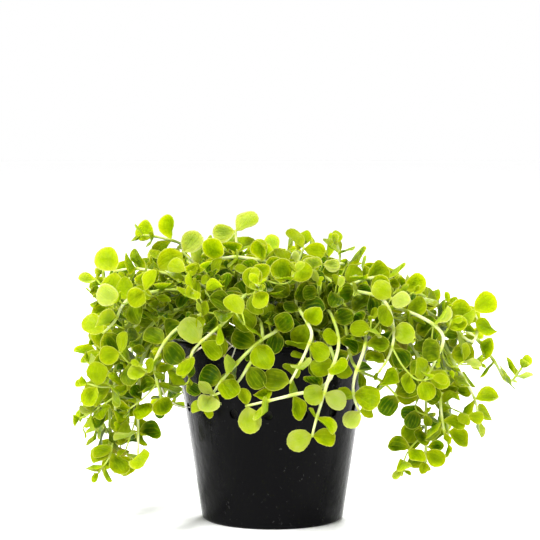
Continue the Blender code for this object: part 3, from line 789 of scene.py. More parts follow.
@dataclass
class StemGrowth:
    """How the main stems, which are those of the solids, find their courses.

    Each is moved a little further at every attempt until it is clear.
    """

    pot: PotShape
    seed: int = 3
    bead_spacing: float = 1.2 * MM
    stem_attempts: int = 300
    freedom_step: float = 0.05 * MM
    crown_freedom: float = 3.0
    picture_freedom: float = 0.35
    sway: float = 0.2
    rise_at: float = 0.42
    crest_at: float = 0.62
    short_fall_at: float = 0.86
    long_fall_at: float = 0.96
    short_fall: float = 16.0 * MM
    fall_share: float = 0.3
    below_crest: Span = (9.0 * MM, 1.0 * MM)
    root_turn: float = 0.6
    root_share: float = 0.8
    root_reach: Span = (2.5 * MM, 21.0 * MM)
    root_scatter: Span = (0.55, 1.0)
    rise_aside: float = 0.12
    rise_height: float = 0.5

    def __post_init__(self) -> None:
        """Starts an empty thicket."""
        self.thicket = Thicket(self.pot)
        self.rng = random.Random(self.seed)

    def shifted(self, points: Sequence[Vector], freedom: float) -> list[Vector]:
        """Moves a stem's points a little: most at the crown, and more in depth than in the picture plane.

        Args:
            points: The wanted points.
            freedom: How far a point may move.

        Returns:
            The moved points.
        """
        moved = []
        for place, point in enumerate(points):
            share = self.crown_freedom if place == 0 else 1.0
            depth, aside, height = (self.rng.uniform(-freedom, freedom) * share for _ in range(3))
            moved.append(point + Vector((aside * self.picture_freedom, depth, height * self.picture_freedom)))
        return moved

    def arch_points(self, azimuth: float, reach: float, crest: float, tip: float) -> list[Vector]:
        """The points of an arched stem beyond its root: up, over and down to its tip.

        Args:
            azimuth: Its direction in degrees from +X.
            reach: How far out its tip lies.
            crest: How high it rises.
            tip: How high its tip lies.

        Returns:
            The points from crown to tip.
        """
        sway = self.rng.uniform(-self.sway, self.sway)
        fall = crest - tip
        fall_at = self.short_fall_at if fall < self.short_fall else self.long_fall_at
        stages = (
            (self.rise_at, crest - self.below_crest[0]),
            (self.crest_at, crest - self.below_crest[1]),
            (fall_at, crest - self.fall_share * fall),
            (1.0, tip),
        )
        points = []
        for share, height in stages:
            points.append(polar(reach * share, math.radians(azimuth) + sway * share, height))
        return points

    def wanted_stems(self) -> dict[str, list[Vector]]:
        """Gathers the courses of all the main stems.

        Returns:
            The points that each stem should pass, by its name.
        """
        wanted = {}
        for name, points in FRONT_STEMS.items():
            wanted[f"stem_{name}"] = [Vector(point) * MM for point in points]
        for stand in Stand:
            for number, (azimuth, *sizes) in enumerate(stand.value, start=1):
                course = self.arch_points(azimuth, *(size * MM for size in sizes))
                wanted[f"stem_{stand.name.lower()}_{number:02d}"] = course
        return wanted

    def rooted(self, points: Sequence[Vector], owner: int) -> StemLine:
        """A stem's line, with a root on the plug below its crown.

        Args:
            points: The points from crown to tip.
            owner: The stem's number.

        Returns:
            The line from root to tip.
        """
        nearest, furthest = self.root_reach
        turn = math.atan2(points[0].y, points[0].x) + self.rng.uniform(-self.root_turn, self.root_turn)
        radius = min(max(self.root_share * points[0].xy.length, nearest), furthest)
        radius *= self.rng.uniform(*self.root_scatter)
        root = polar(radius, turn, self.pot.medium_height(radius) + self.pot.gap)
        rise = root.lerp(points[0], self.rise_aside)
        rise.z = root.z + self.rise_height * (points[0].z - root.z)
        return StemLine.through([root, rise, *points], self.bead_spacing, owner)

    def grow_stems(self) -> dict[str, StemLine]:
        """Grows the main stems, clear of the pot and of one another.

        Returns:
            Each stem's line, by its name.
        """
        thicket = self.thicket
        space = thicket.stem_radius + thicket.leaf_space
        stems = {}
        for owner, (name, course) in enumerate(self.wanted_stems().items()):
            for attempt in range(self.stem_attempts):
                line = self.rooted(self.shifted(course, attempt * self.freedom_step), owner)
                touching = any(self.pot.holds(point, space) for point in line.points[2:])
                if not touching and thicket.beads_are_clear(line.points, thicket.stem_space):
                    break
            thicket.add_stem(line)
            stems[name] = line
        return stems


@dataclass(frozen=True)
class PairPattern:
    """Where pairs of leaves stand along a stem, tip first, and how long its bare foot is.

    A place is in millimetres from the tip, and a size is a share of a full leaf.
    """

    places: tuple[float, ...]
    sizes: tuple[float, ...]
    bare: float
    on_shoot: bool


@dataclass
class LeafGrowth(StemGrowth):
    """How leaves stand along a stem, and how each finds its room.

    A leaf faces out from the plant's heart, up and to the light in front. Each attempt tilts it more by
    chance and makes it smaller. Those of side shoots stay in the plant's outline, a low dome.
    """

    leaf_length: float = 6.8 * MM
    leaf_attempts: int = 10
    leaf_scatter: Span = (0.88, 1.08)
    shrink_step: float = 0.03
    first_tilt: float = 0.32
    tilt_step: float = 0.05
    shoot_tilt: float = 0.15
    axis_tilt: float = 0.4
    axis_reach: float = 15.0 * MM
    faces_out: float = 0.65
    flat_limit: float = 0.45
    flat_lean: float = 0.6
    least_across: float = 0.2
    stem_pairs: PairPattern = PairPattern(
        (1.2, 4.2, 9.0, 14.5, 21.0, 28.5, 36.5, 45.0, 54.0, 63.5),
        (0.62, 0.94, 1.0, 1.05, 1.05, 1.0, 0.97, 0.93, 0.88, 0.84),
        bare=9.0 * MM,
        on_shoot=False,
    )
    pair_leans: tuple[float, ...] = (1.1, 0.55, 0.3, 0.26, 0.26, 0.26, 0.26, 0.26, 0.26, 0.26)
    pair_turn: float = 1.1
    first_turn: float = 0.5
    stem_vigour: Span = (0.92, 1.08)
    open_tips: tuple[str, ...] = (
        "stem_twin_leaf", "stem_folded_leaf", "stem_left_crown", "stem_left_upper", "stem_left_mid",
        "stem_left_low", "stem_front_mid", "stem_right_upper", "stem_right_pair", "stem_right_round",
    )
    closed_tips: tuple[str, ...] = ("stem_bud", "stem_cross_tip", "stem_right_trail")
    open_tip_chance: float = 0.45
    open_from_pair: int = 2
    open_place: float = 1.6
    upright_tip: str = "stem_cross_tip"
    upright_turn: float = 1.5
    canopy_height: float = 76.0 * MM
    canopy_fall: float = 11.0 * MM
    canopy_radius: float = 50.0 * MM
    canopy_middle: float = -8.0 * MM
    canopy_slope: float = 0.1
    left_edge: float = -52.5 * MM

    HEART = Vector((0.0, 0.0, 40.0 * MM))
    FRONT = Vector((0.0, -1.0, 0.0))
    SLANT = Vector((0.3, 0.2, 1.0))
    LIGHT = Vector((0.0, -0.3, 0.45))
    SHOWN_LIGHT = Vector((0.0, -1.0, 0.25))

    def scatter(self, spread: float) -> Vector:
        """A vector of three random numbers."""
        return Vector([self.rng.gauss(0, spread) for _ in range(3)])

    def leaf_at(self, joint: Joint, side: int, attempt: int) -> Leaf:
        """One leaf of a pair.

        Args:
            joint: Where the pair grows.
            side: 1 or -1.
            attempt: How many times the leaf has found no room.

        Returns:
            The leaf.
        """
        point, along = joint.point, joint.along
        size = joint.size * self.rng.uniform(*self.leaf_scatter) * (1 - self.shrink_step * attempt)
        spread = self.first_tilt + self.tilt_step * attempt + (self.shoot_tilt if joint.on_shoot else 0.0)
        outward = self.FRONT if joint.shown else (point - self.HEART).normalized()
        across = along.cross(outward)
        if across.length < self.least_across:
            across = along.cross(self.SLANT)
        across.normalize()
        away = (across * math.cos(joint.turn) + along.cross(across) * math.sin(joint.turn)) * side
        jitter = self.scatter(spread)
        axis = (away + along * joint.lean + self.axis_tilt * jitter).normalized()
        level_out = Vector((point.x, point.y, 0.0)) / max(point.xy.length, self.axis_reach)
        light = (self.SHOWN_LIGHT if joint.shown else level_out * self.faces_out + self.LIGHT) + jitter
        normal = light - axis * light.dot(axis)
        if normal.length < self.flat_limit:
            normal = normal + self.flat_lean * (along - axis * along.dot(axis))
        return Leaf(point, axis, normal.normalized(), away, size)

    def canopy(self, point: Sequence[float]) -> float:
        """The height of the plant's outline over a point."""
        share = math.hypot(point[0] - self.canopy_middle, point[1]) / self.canopy_radius
        return self.canopy_height - self.canopy_fall * share * share - self.canopy_slope * point[1]

    def in_outline(self, leaf: Leaf) -> bool:
        """Whether a side shoot's leaf stays under the low dome and within the left edge of the outline."""
        return leaf.rim[:, 2].max() < self.canopy(leaf.centre) and leaf.rim[:, 0].min() > self.left_edge

    def grow_pair(self, joint: Joint, owner: int) -> LeafPair:
        """Grows both leaves of one joint.

        Args:
            joint: Where and how they stand.
            owner: The stem's number.

        Returns:
            The pair, without a leaf that found no room.
        """
        pair = LeafPair(joint.from_tip)
        for side in (1, -1):
            for attempt in range(self.leaf_attempts):
                leaf = self.leaf_at(joint, side, attempt)
                if joint.on_shoot and not self.in_outline(leaf):
                    continue
                if self.thicket.leaf_is_clear(leaf, owner):
                    self.thicket.add_leaf(leaf)
                    pair.leaves[side] = leaf
                    pair.away = leaf.away * side
                    break
        return pair

    def grow_pairs(
        self,
        line: StemLine,
        pattern: PairPattern,
        vigour: float,
        turn: float,
        first: int,
        start: float,
        shown: bool = False,
    ) -> list[LeafPair]:
        """Grows the pairs of leaves along a stem.

        Args:
            line: The stem.
            pattern: Where pairs stand along it.
            vigour: A factor on their places and sizes.
            turn: How far the first pair is turned about the stem.
            first: The number of the pair at the tip, with the younger ones left out.
            start: How far that pair is from the tip, in millimetres.
            shown: Whether that pair opens to the front.

        Returns:
            The pairs, tip first.
        """
        nearer = pattern.places[first] - start
        pairs = []
        for number, (place, share, lean) in enumerate(zip(pattern.places, pattern.sizes, self.pair_leans)):
            from_tip = (place - nearer) * MM * vigour
            if number < first:
                continue
            if from_tip > line.length - pattern.bare:
                break
            opens = shown and number == first
            pair_turn = 0.0 if opens else turn + (number % 2) * self.pair_turn
            size = self.leaf_length * share * vigour
            joint = Joint(*line.at(from_tip), from_tip, pair_turn, size, lean, opens, pattern.on_shoot)
            pairs.append(self.grow_pair(joint, line.owner))
        return pairs

    def grow_leaves(self, name: str, line: StemLine) -> list[LeafPair]:
        """Grows the leaves of a main stem, which may end in a wide open pair.

        Args:
            name: The stem's name.
            line: The stem.

        Returns:
            The pairs, tip first.
        """
        turn = self.rng.uniform(-self.first_turn, self.first_turn)
        if name == self.upright_tip:
            turn = self.upright_turn
        vigour = self.rng.uniform(*self.stem_vigour)
        opens = self.rng.random() < self.open_tip_chance and name not in self.closed_tips
        shown = name in self.open_tips
        first, start = 0, self.stem_pairs.places[0]
        if opens or shown:
            first, start = self.open_from_pair, self.open_place
        return self.grow_pairs(line, self.stem_pairs, vigour, turn, first, start, shown)


@dataclass
class GrowthPlan(LeafGrowth):
    """The whole plant: the main stems with their leaves, then the side, young and inner shoots.

    The side shoots are few before the pot, where only the long stems hang, and where the right side is thin.
    """

    shoot_seed: int = 5
    stem_thickness: float = 0.44 * MM
    shoot_thickness: float = 0.28 * MM
    shoot_leaf_space: float = 0.32 * MM
    shoot_vigour: Span = (0.85, 1.1)
    shoot_pairs: PairPattern = PairPattern(
        (1.1, 3.8, 7.8, 12.5), (0.5, 0.84, 0.97, 1.0), bare=2.0 * MM, on_shoot=True
    )
    shoot_tries: int = 12
    shoot_chance: float = 0.85
    shoot_lengths: Span = (7.0 * MM, 18.0 * MM)
    shoot_turn: float = 0.5
    shoot_scatter: float = 0.3
    shoot_stages: tuple[Span, ...] = ((0.33, 0.0), (0.58, 0.12), (0.66, 0.45))
    leaves_aside: float = 0.8
    leaves_along: float = 0.6
    leaves_by_chance: float = 0.5
    ends_outward: float = 0.7
    ends_up: float = 0.7
    ends_down: float = -0.9
    rises_from: float = 52.0 * MM
    level_at: float = 40.0 * MM
    lift_height: float = 17.0 * MM
    young_pairs: int = 2
    bare_half_width: float = 25.0 * MM
    bare_height: float = 60.0 * MM
    bare_depth: float = -18.0 * MM
    bare_chance: float = 0.04
    thin_from: float = 42.0 * MM
    thin_height: float = 45.0 * MM
    thin_chance: float = 0.4
    box_share: float = 0.022
    inner_heights: Span = (42.0 * MM, 70.0 * MM)
    inner_reach: float = 42.0 * MM
    inner_lengths: Span = (5.0 * MM, 10.0 * MM)
    inner_turn: float = 0.8
    young_tries: int = 260
    young_radius: float = 22.0 * MM
    young_front: float = -12.0 * MM
    young_lengths: Span = (9.0 * MM, 22.0 * MM)
    young_lean: float = 0.35
    young_bend: float = 0.45
    shade_reach: float = 15.0 * MM
    shade_cone: float = 0.35
    shade_start: float = 0.5 * MM
    full_shade: int = 10

    def __post_init__(self) -> None:
        """Starts an empty thicket and the box that the growth stays in."""
        super().__post_init__()
        low, high = (np.array(corner) for corner in CAD_BOX)
        spare = (high - low) * self.box_share
        self.low, self.high = low - spare, high + spare

    def in_box(self, leaf: Leaf) -> bool:
        """Whether a leaf stays in the solids' box, with its small allowance."""
        return bool((leaf.rim.min(0) > self.low).all() and (leaf.rim.max(0) < self.high).all())

    def in_bare_front(self, point: Vector) -> bool:
        """Whether a point lies before the pot."""
        before_pot = abs(point.x) < self.bare_half_width and point.y < self.bare_depth
        return before_pot and point.z < self.bare_height

    def in_dense_heart(self, point: Vector) -> bool:
        """Whether a point lies under the dome, where short shoots fill the plant.

        Args:
            point: A joint.

        Returns:
            True where short shoots may grow.
        """
        low, high = self.inner_heights
        within = low < point.z < high and math.hypot(point.x, point.y) < self.inner_reach
        return within and not self.in_bare_front(point)

    def chance_of_shoot(self, point: Vector) -> float:
        """How likely a joint bears a side shoot.

        Args:
            point: The joint.

        Returns:
            The chance, from 0 to 1.
        """
        if self.in_bare_front(point):
            return self.bare_chance
        if point.x > self.thin_from:
            return self.thin_chance if point.z > self.thin_height else self.bare_chance
        return self.shoot_chance

    def has_room(self, course: StemLine) -> bool:
        """Whether a side shoot stays in the plant's outline and clear of all that has grown.

        Args:
            course: The shoot's line.

        Returns:
            True where it can grow.
        """
        tip = np.array(course.points[-1])
        inside = (tip > self.low + self.leaf_length / 2).all() and (tip < self.high).all()
        if not inside or tip[0] < self.left_edge or tip[2] > self.canopy(tip) - self.leaf_length / 4:
            return False
        return self.thicket.shoot_is_clear(course)

    def light_at(self, point: Sequence[float]) -> float:
        """How open a place stands, by the leaves before it on its way to the light.

        Args:
            point: The place.

        Returns:
            1 with no leaf before it, and 0 deep in the plant.
        """
        outward = (Vector(point) - self.HEART).normalized()
        offset = self.thicket.centres - np.array(point)
        reach = np.linalg.norm(offset, axis=1)
        ahead = offset @ np.array(outward) > self.shade_cone * reach
        shading = (reach < self.shade_reach) & ahead & (reach > self.shade_start)
        return 1.0 - min(shading.sum() / self.full_shade, 1.0)

    def clothe(self, course: StemLine) -> Shoot:
        """Notes a side shoot and grows its leaves.

        Args:
            course: The shoot's line.

        Returns:
            The shoot.
        """
        self.thicket.add_stem(course)
        turn = self.rng.uniform(0, math.pi)
        vigour = self.rng.uniform(*self.shoot_vigour)
        first = 1 if self.rng.random() < self.open_tip_chance else 0
        pattern = self.shoot_pairs
        pairs = self.grow_pairs(course, pattern, vigour, turn, first, pattern.places[0])
        return Shoot(course, pairs, self.shoot_thickness)

    def shoot_at(
        self, line: StemLine, pair: LeafPair, side: int, *, turn: float, length: float
    ) -> Shoot | None:
        """Tries a side shoot, which leaves its stem at a slant and turns to the light or hangs.

        Args:
            line: The stem.
            pair: The leaves of its joint.
            side: 1 or -1.
            turn: How far it is turned about the stem.
            length: How long it is.

        Returns:
            The shoot, or None where it has no room.
        """
        point, along = line.at(pair.from_tip)
        across = along.orthogonal().normalized() if pair.away is None else pair.away
        away = Matrix.Rotation(turn, 3, along) @ (across * side)
        chance = self.scatter(self.shoot_scatter)
        start = away * self.leaves_aside + along * self.leaves_along + self.leaves_by_chance * chance
        start.normalize()
        lift = self.ends_up if point.z > self.rises_from else (point.z - self.level_at) / self.lift_height
        outward = (point - self.HEART).normalized()
        end = (outward * self.ends_outward + Vector((0, 0, max(lift, self.ends_down))) + chance).normalized()
        points = [point + start * first * length + end * then * length for first, then in self.shoot_stages]
        course = StemLine.through([point, *points], self.bead_spacing, line.owner)
        return self.clothe(course) if self.has_room(course) else None

    def grow_shoots(self, stem: Shoot) -> list[Shoot]:
        """Grows the side shoots of a main stem, from the joints behind its young tip.

        Args:
            stem: The stem.

        Returns:
            The shoots that found room.
        """
        shoots = []
        for pair in stem.pairs[self.young_pairs :]:
            chance = self.chance_of_shoot(stem.line.at(pair.from_tip)[0])
            for side in (1, -1):
                if self.rng.random() > chance:
                    continue
                for _ in range(self.shoot_tries):
                    turn = self.rng.uniform(-self.shoot_turn, self.shoot_turn)
                    length = self.rng.uniform(*self.shoot_lengths)
                    shoot = self.shoot_at(stem.line, pair, side, turn=turn, length=length)
                    if shoot:
                        shoots.append(shoot)
                        break
        return shoots

    def grow_inner(self, parents: Sequence[Shoot]) -> list[Shoot]:
        """Grows short shoots on the side shoots, where the plant is dense under its dome.

        Args:
            parents: The side shoots.

        Returns:
            The shoots that found room.
        """
        shoots = []
        for line, pair in [(parent.line, pair) for parent in parents for pair in parent.pairs]:
            if self.in_dense_heart(line.at(pair.from_tip)[0]):
                for side in (1, -1):
                    length = self.rng.uniform(*self.inner_lengths)
                    turn = self.rng.uniform(-self.inner_turn, self.inner_turn)
                    shoots.append(self.shoot_at(line, pair, side, turn=turn, length=length))
        return [shoot for shoot in shoots if shoot]

    def grow_young(self, owner: int) -> list[Shoot]:
        """Grows the young shoots that fill the plant's heart, straight from the plug.

        Args:
            owner: Their shared number.

        Returns:
            The shoots that found room.
        """
        rng = self.rng
        shoots = []
        for _ in range(self.young_tries):
            turn = rng.uniform(0, FULL_TURN)
            radius = self.young_radius * math.sqrt(rng.random())
            root = polar(radius, turn, self.pot.medium_height(radius) - self.pot.gap)
            if root.y < self.young_front:
                continue
            rise = Vector((self.young_lean * root.x, self.young_lean * root.y, 0.0)) / self.young_radius
            rise.z = 1.0
            chance = Vector((rng.gauss(0, self.shoot_scatter), rng.gauss(0, self.shoot_scatter), 0.0))
            length = rng.uniform(*self.young_lengths)
            points = [root, root + rise * self.young_bend * length, root + (rise + chance) * length]
            course = StemLine.through(points, self.bead_spacing, owner)
            if self.thicket.shoot_is_clear(course):
                shoots.append(self.clothe(course))
        return shoots

    def grow(self) -> dict[str, list[Shoot]]:
        """Grows the whole plant.

        Returns:
            For each main stem, itself and then its side shoots, and the young shoots last.
        """
        plants = {}
        for name, line in self.grow_stems().items():
            plants[name] = [line]
        for name, (line,) in plants.items():
            plants[name] = [Shoot(line, self.grow_leaves(name, line), self.stem_thickness)]
        self.rng = random.Random(self.shoot_seed)
        self.thicket.leaf_space = self.shoot_leaf_space
        for shoots in plants.values():
            shoots += self.grow_shoots(shoots[0])
        plants["young_shoots"] = self.grow_young(len(plants))
        for shoots in plants.values():
            shoots += self.grow_inner(shoots[1:])
        for shoots in plants.values():
            for pair in [pair for shoot in shoots for pair in shoot.pairs]:
                pair.leaves = {side: leaf for side, leaf in pair.leaves.items() if self.in_box(leaf)}
            shoots[1:] = [shoot for shoot in shoots[1:] if any(pair.leaves for pair in shoot.pairs)]
            shoots[:] = [shoot.trimmed() for shoot in shoots]
        return plants


# Meshes


def placed(name: str, data: bpy.types.ID) -> bpy.types.Object:
    """Adds an object to the scene.

    Args:
        name: The object's name.
        data: Its mesh, curve, lamp or camera.

    Returns:
        The object.
    """
    made = bpy.data.objects.new(name, data)
    bpy.context.scene.collection.objects.link(made)
    return made


def mesh_from(tool: bmesh.types.BMesh, name: str) -> bpy.types.Mesh:
    """Makes a mesh of a bmesh, which is freed.

    Args:
        tool: The bmesh.
        name: The mesh's name.

    Returns:
        The mesh.
    """
    mesh = bpy.data.meshes.new(name)
    tool.to_mesh(mesh)
    tool.free()
    return mesh


def evaluated(*objects: bpy.types.Object) -> bpy.types.Mesh:
    """Applies the modifiers of an object.

    Args:
        *objects: The object, and then those that its modifiers need. All are removed.

    Returns:
        The finished mesh.
    """
    seen = objects[0].evaluated_get(bpy.context.evaluated_depsgraph_get())
    mesh = bpy.data.meshes.new_from_object(seen)
    for spare in objects:
        bpy.data.objects.remove(spare)
    return mesh


def finished(
    mesh: bpy.types.Mesh, name: str, material: bpy.types.Material, slot: str, *nodes: str
) -> bpy.types.Object:
    """Makes a piece of the object that rides on its body.

    Args:
        mesh: The piece's mesh, in place.
        name: The piece's name.
        material: Its material.
        slot: Not used.
        *nodes: The solids that it stands for.

    Returns:
        The piece.
    """
    mesh.name = name
    mesh.materials.clear()
    mesh.materials.append(material)
    mesh.shade_smooth()
    piece = placed(name, mesh)
    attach(piece, BODY)
    if nodes:
        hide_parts(*nodes)
    return piece


def turned(profile: Sequence[Span], sides: int) -> bmesh.types.BMesh:
    """Turns an outline a full turn about Z.

    Args:
        profile: Points as (radius, height), from the axis out and back to the axis.
        sides: The number of steps.

    Returns:
        A closed body.
    """
    tool = bmesh.new()
    points = [tool.verts.new((radius, 0.0, height)) for radius, height in profile]
    edges = [tool.edges.new(pair) for pair in zip(points, points[1:])]
    whole = {"cent": (0, 0, 0), "axis": (0, 0, 1), "angle": FULL_TURN, "steps": sides, "use_merge": True}
    bmesh.ops.spin(tool, geom=points + edges, **whole)
    bmesh.ops.remove_doubles(tool, verts=tool.verts, dist=0.001 * MM)
    bmesh.ops.recalc_face_normals(tool, faces=tool.faces)
    return tool


def tubes(lines: Sequence[tuple[Sequence[Vector], Sequence[float]]], sides: int) -> bmesh.types.BMesh:
    """Closed round tubes along lines.

    Args:
        lines: For each tube, its points and its radius at each.
        sides: 4, 6 or 8.

    Returns:
        All the tubes, each point of a line with a ring of its own, in order.
    """
    curve = bpy.data.curves.new("tube course", "CURVE")
    curve.dimensions = "3D"
    curve.bevel_depth = 1.0
    curve.bevel_resolution = sides // 2 - 2
    for points, radii in lines:
        spline = curve.splines.new("POLY")
        spline.points.add(len(points) - 1)
        for knot, point, radius in zip(spline.points, points, radii):
            knot.co = (*point, 1.0)
            knot.radius = radius
    mesh = evaluated(placed("tube course", curve))
    bpy.data.curves.remove(curve)
    tool = bmesh.new()
    tool.from_mesh(mesh)
    bpy.data.meshes.remove(mesh)
    bmesh.ops.holes_fill(tool, edges=[edge for edge in tool.edges if edge.is_boundary], sides=0)
    bmesh.ops.recalc_face_normals(tool, faces=tool.faces)
    return tool


class BladeShape(Enum):
    """How a leaf is formed: cup, fold along the midrib, bend to the tip, and wave of its edge."""

    SPOON = (0.52, 0.00, -0.10, 0.035)
    FLAT = (0.26, 0.06, -0.08, 0.050)
    SADDLE = (-0.26, 0.16, -0.15, 0.060)
    FOLDED = (0.08, 0.40, -0.16, 0.040)


@dataclass
class BladePattern:
    """The round leaf that every leaf is shaped from: a thin closed disc."""

    segments: int = 16
    inner: float = 0.42
    thickness: float = 0.3 * MM
    width_share: float = 0.97
    young_width: float = 0.70
    base_width: float = 0.80
    tip_gain: float = 0.28
    fold_narrowing: float = 0.16
    neck_width: float = 0.25
    neck_flare: float = 6.0
    start: float = 0.06
    start_rise: float = 8.0
    lift_rise: float = 4.0
    slender_length: float = 2.8 * MM
    unevenness: float = 0.045
    slimness: Span = (0.84, 1.04)
    lopsidedness: float = 0.05
    shape_scatter: Span = (0.6, 1.3)
    shape_weights: tuple[float, ...] = (5, 4.2, 2.4, 1.6)

    def __post_init__(self) -> None:
        """Builds the disc once and keeps its points."""
        disc = bmesh.new()
        bmesh.ops.create_circle(disc, cap_ends=True, segments=self.segments, radius=1.0)
        whole = disc.faces[:]
        bmesh.ops.inset_region(disc, faces=whole, thickness=self.inner, depth=0.1, use_even_offset=False)
        middle = min(disc.faces, key=lambda face: face.calc_center_median().xy.length)
        bmesh.ops.poke(disc, faces=[middle])
        for vert in disc.verts:
            vert.co.z = 0.0 if vert.co.xy.length > 1 - self.inner / 2 else 1.0
        bmesh.ops.mirror(disc, geom=disc.verts[:] + disc.edges[:] + disc.faces[:], merge_dist=1e-4, axis="Z")
        bmesh.ops.recalc_face_normals(disc, faces=disc.faces)
        self.mesh = mesh_from(disc, "leaf pattern")
        places = np.array([vert.co for vert in self.mesh.vertices])
        self.along = (places[:, 0] + 1) / 2
        self.across = places[:, 1]
        self.upper = (places[:, 2] + 1) / 2

    def lift(
        self, leaf: Leaf, shape: Sequence[float], angle: np.ndarray, radius: np.ndarray, phase: float
    ) -> np.ndarray:
        """How far each point of a leaf stands off its flat.

        Args:
            leaf: The leaf.
            shape: Its cup, fold, bend and wave.
            angle: Each point's direction from the middle.
            radius: Each point's distance from the middle.
            phase: Where its wave starts.

        Returns:
            One height for each point of the pattern.
        """
        cup, fold, bend, wave = shape
        ripple = wave * np.sin(3 * angle + phase) * radius**3
        form = 0.5 * cup * radius**2 + 0.5 * fold * np.abs(self.across) + bend * self.along**2 + ripple
        from_base = np.minimum(self.along * self.lift_rise, 1.0)
        return form * leaf.length * from_base + (self.upper - 0.5) * self.thickness

    def shaped(self, leaf: Leaf, rng: random.Random) -> np.ndarray:
        """The points of one leaf.

        Args:
            leaf: The leaf.
            rng: The source of chance.

        Returns:
            One row of coordinates for each point of the pattern.
        """
        chosen = rng.choices(list(BladeShape), weights=self.shape_weights)[0]
        shape = [value * rng.uniform(*self.shape_scatter) for value in chosen.value]
        along, across = self.along, self.across
        radius = np.sqrt((2 * along - 1) ** 2 + across**2)
        angle = np.arctan2(across, 2 * along - 1)
        wave_phase, *lobe_phases = (rng.uniform(0, FULL_TURN) for _ in range(3))
        lobes = 1 + sum(self.unevenness * np.sin(k * angle + phase) for k, phase in zip((2, 3), lobe_phases))
        slimness = rng.uniform(*self.slimness)
        lopsided = rng.gauss(0, self.lopsidedness)
        grown = min(max((leaf.length - self.slender_length) / self.slender_length, 0.0), 1.0)
        width = self.width_share * (self.young_width + (1 - self.young_width) * grown)
        width = width * (self.base_width + self.tip_gain * along) * (1 - self.fold_narrowing * abs(shape[1]))
        width = width * lobes * slimness * (1 + lopsided * np.sign(across))
        neck = np.minimum(self.neck_width + along * self.neck_flare, 1.0)
        place = self.start * np.minimum(along * self.start_rise, 1.0) + along * (1 - self.start)
        return (
            np.array(leaf.base)
            + np.outer(place * leaf.length, leaf.axis)
            + np.outer(across * width * neck * leaf.length / 2, leaf.normal.cross(leaf.axis))
            + np.outer(self.lift(leaf, shape, angle, radius, wave_phase), leaf.normal)
        )


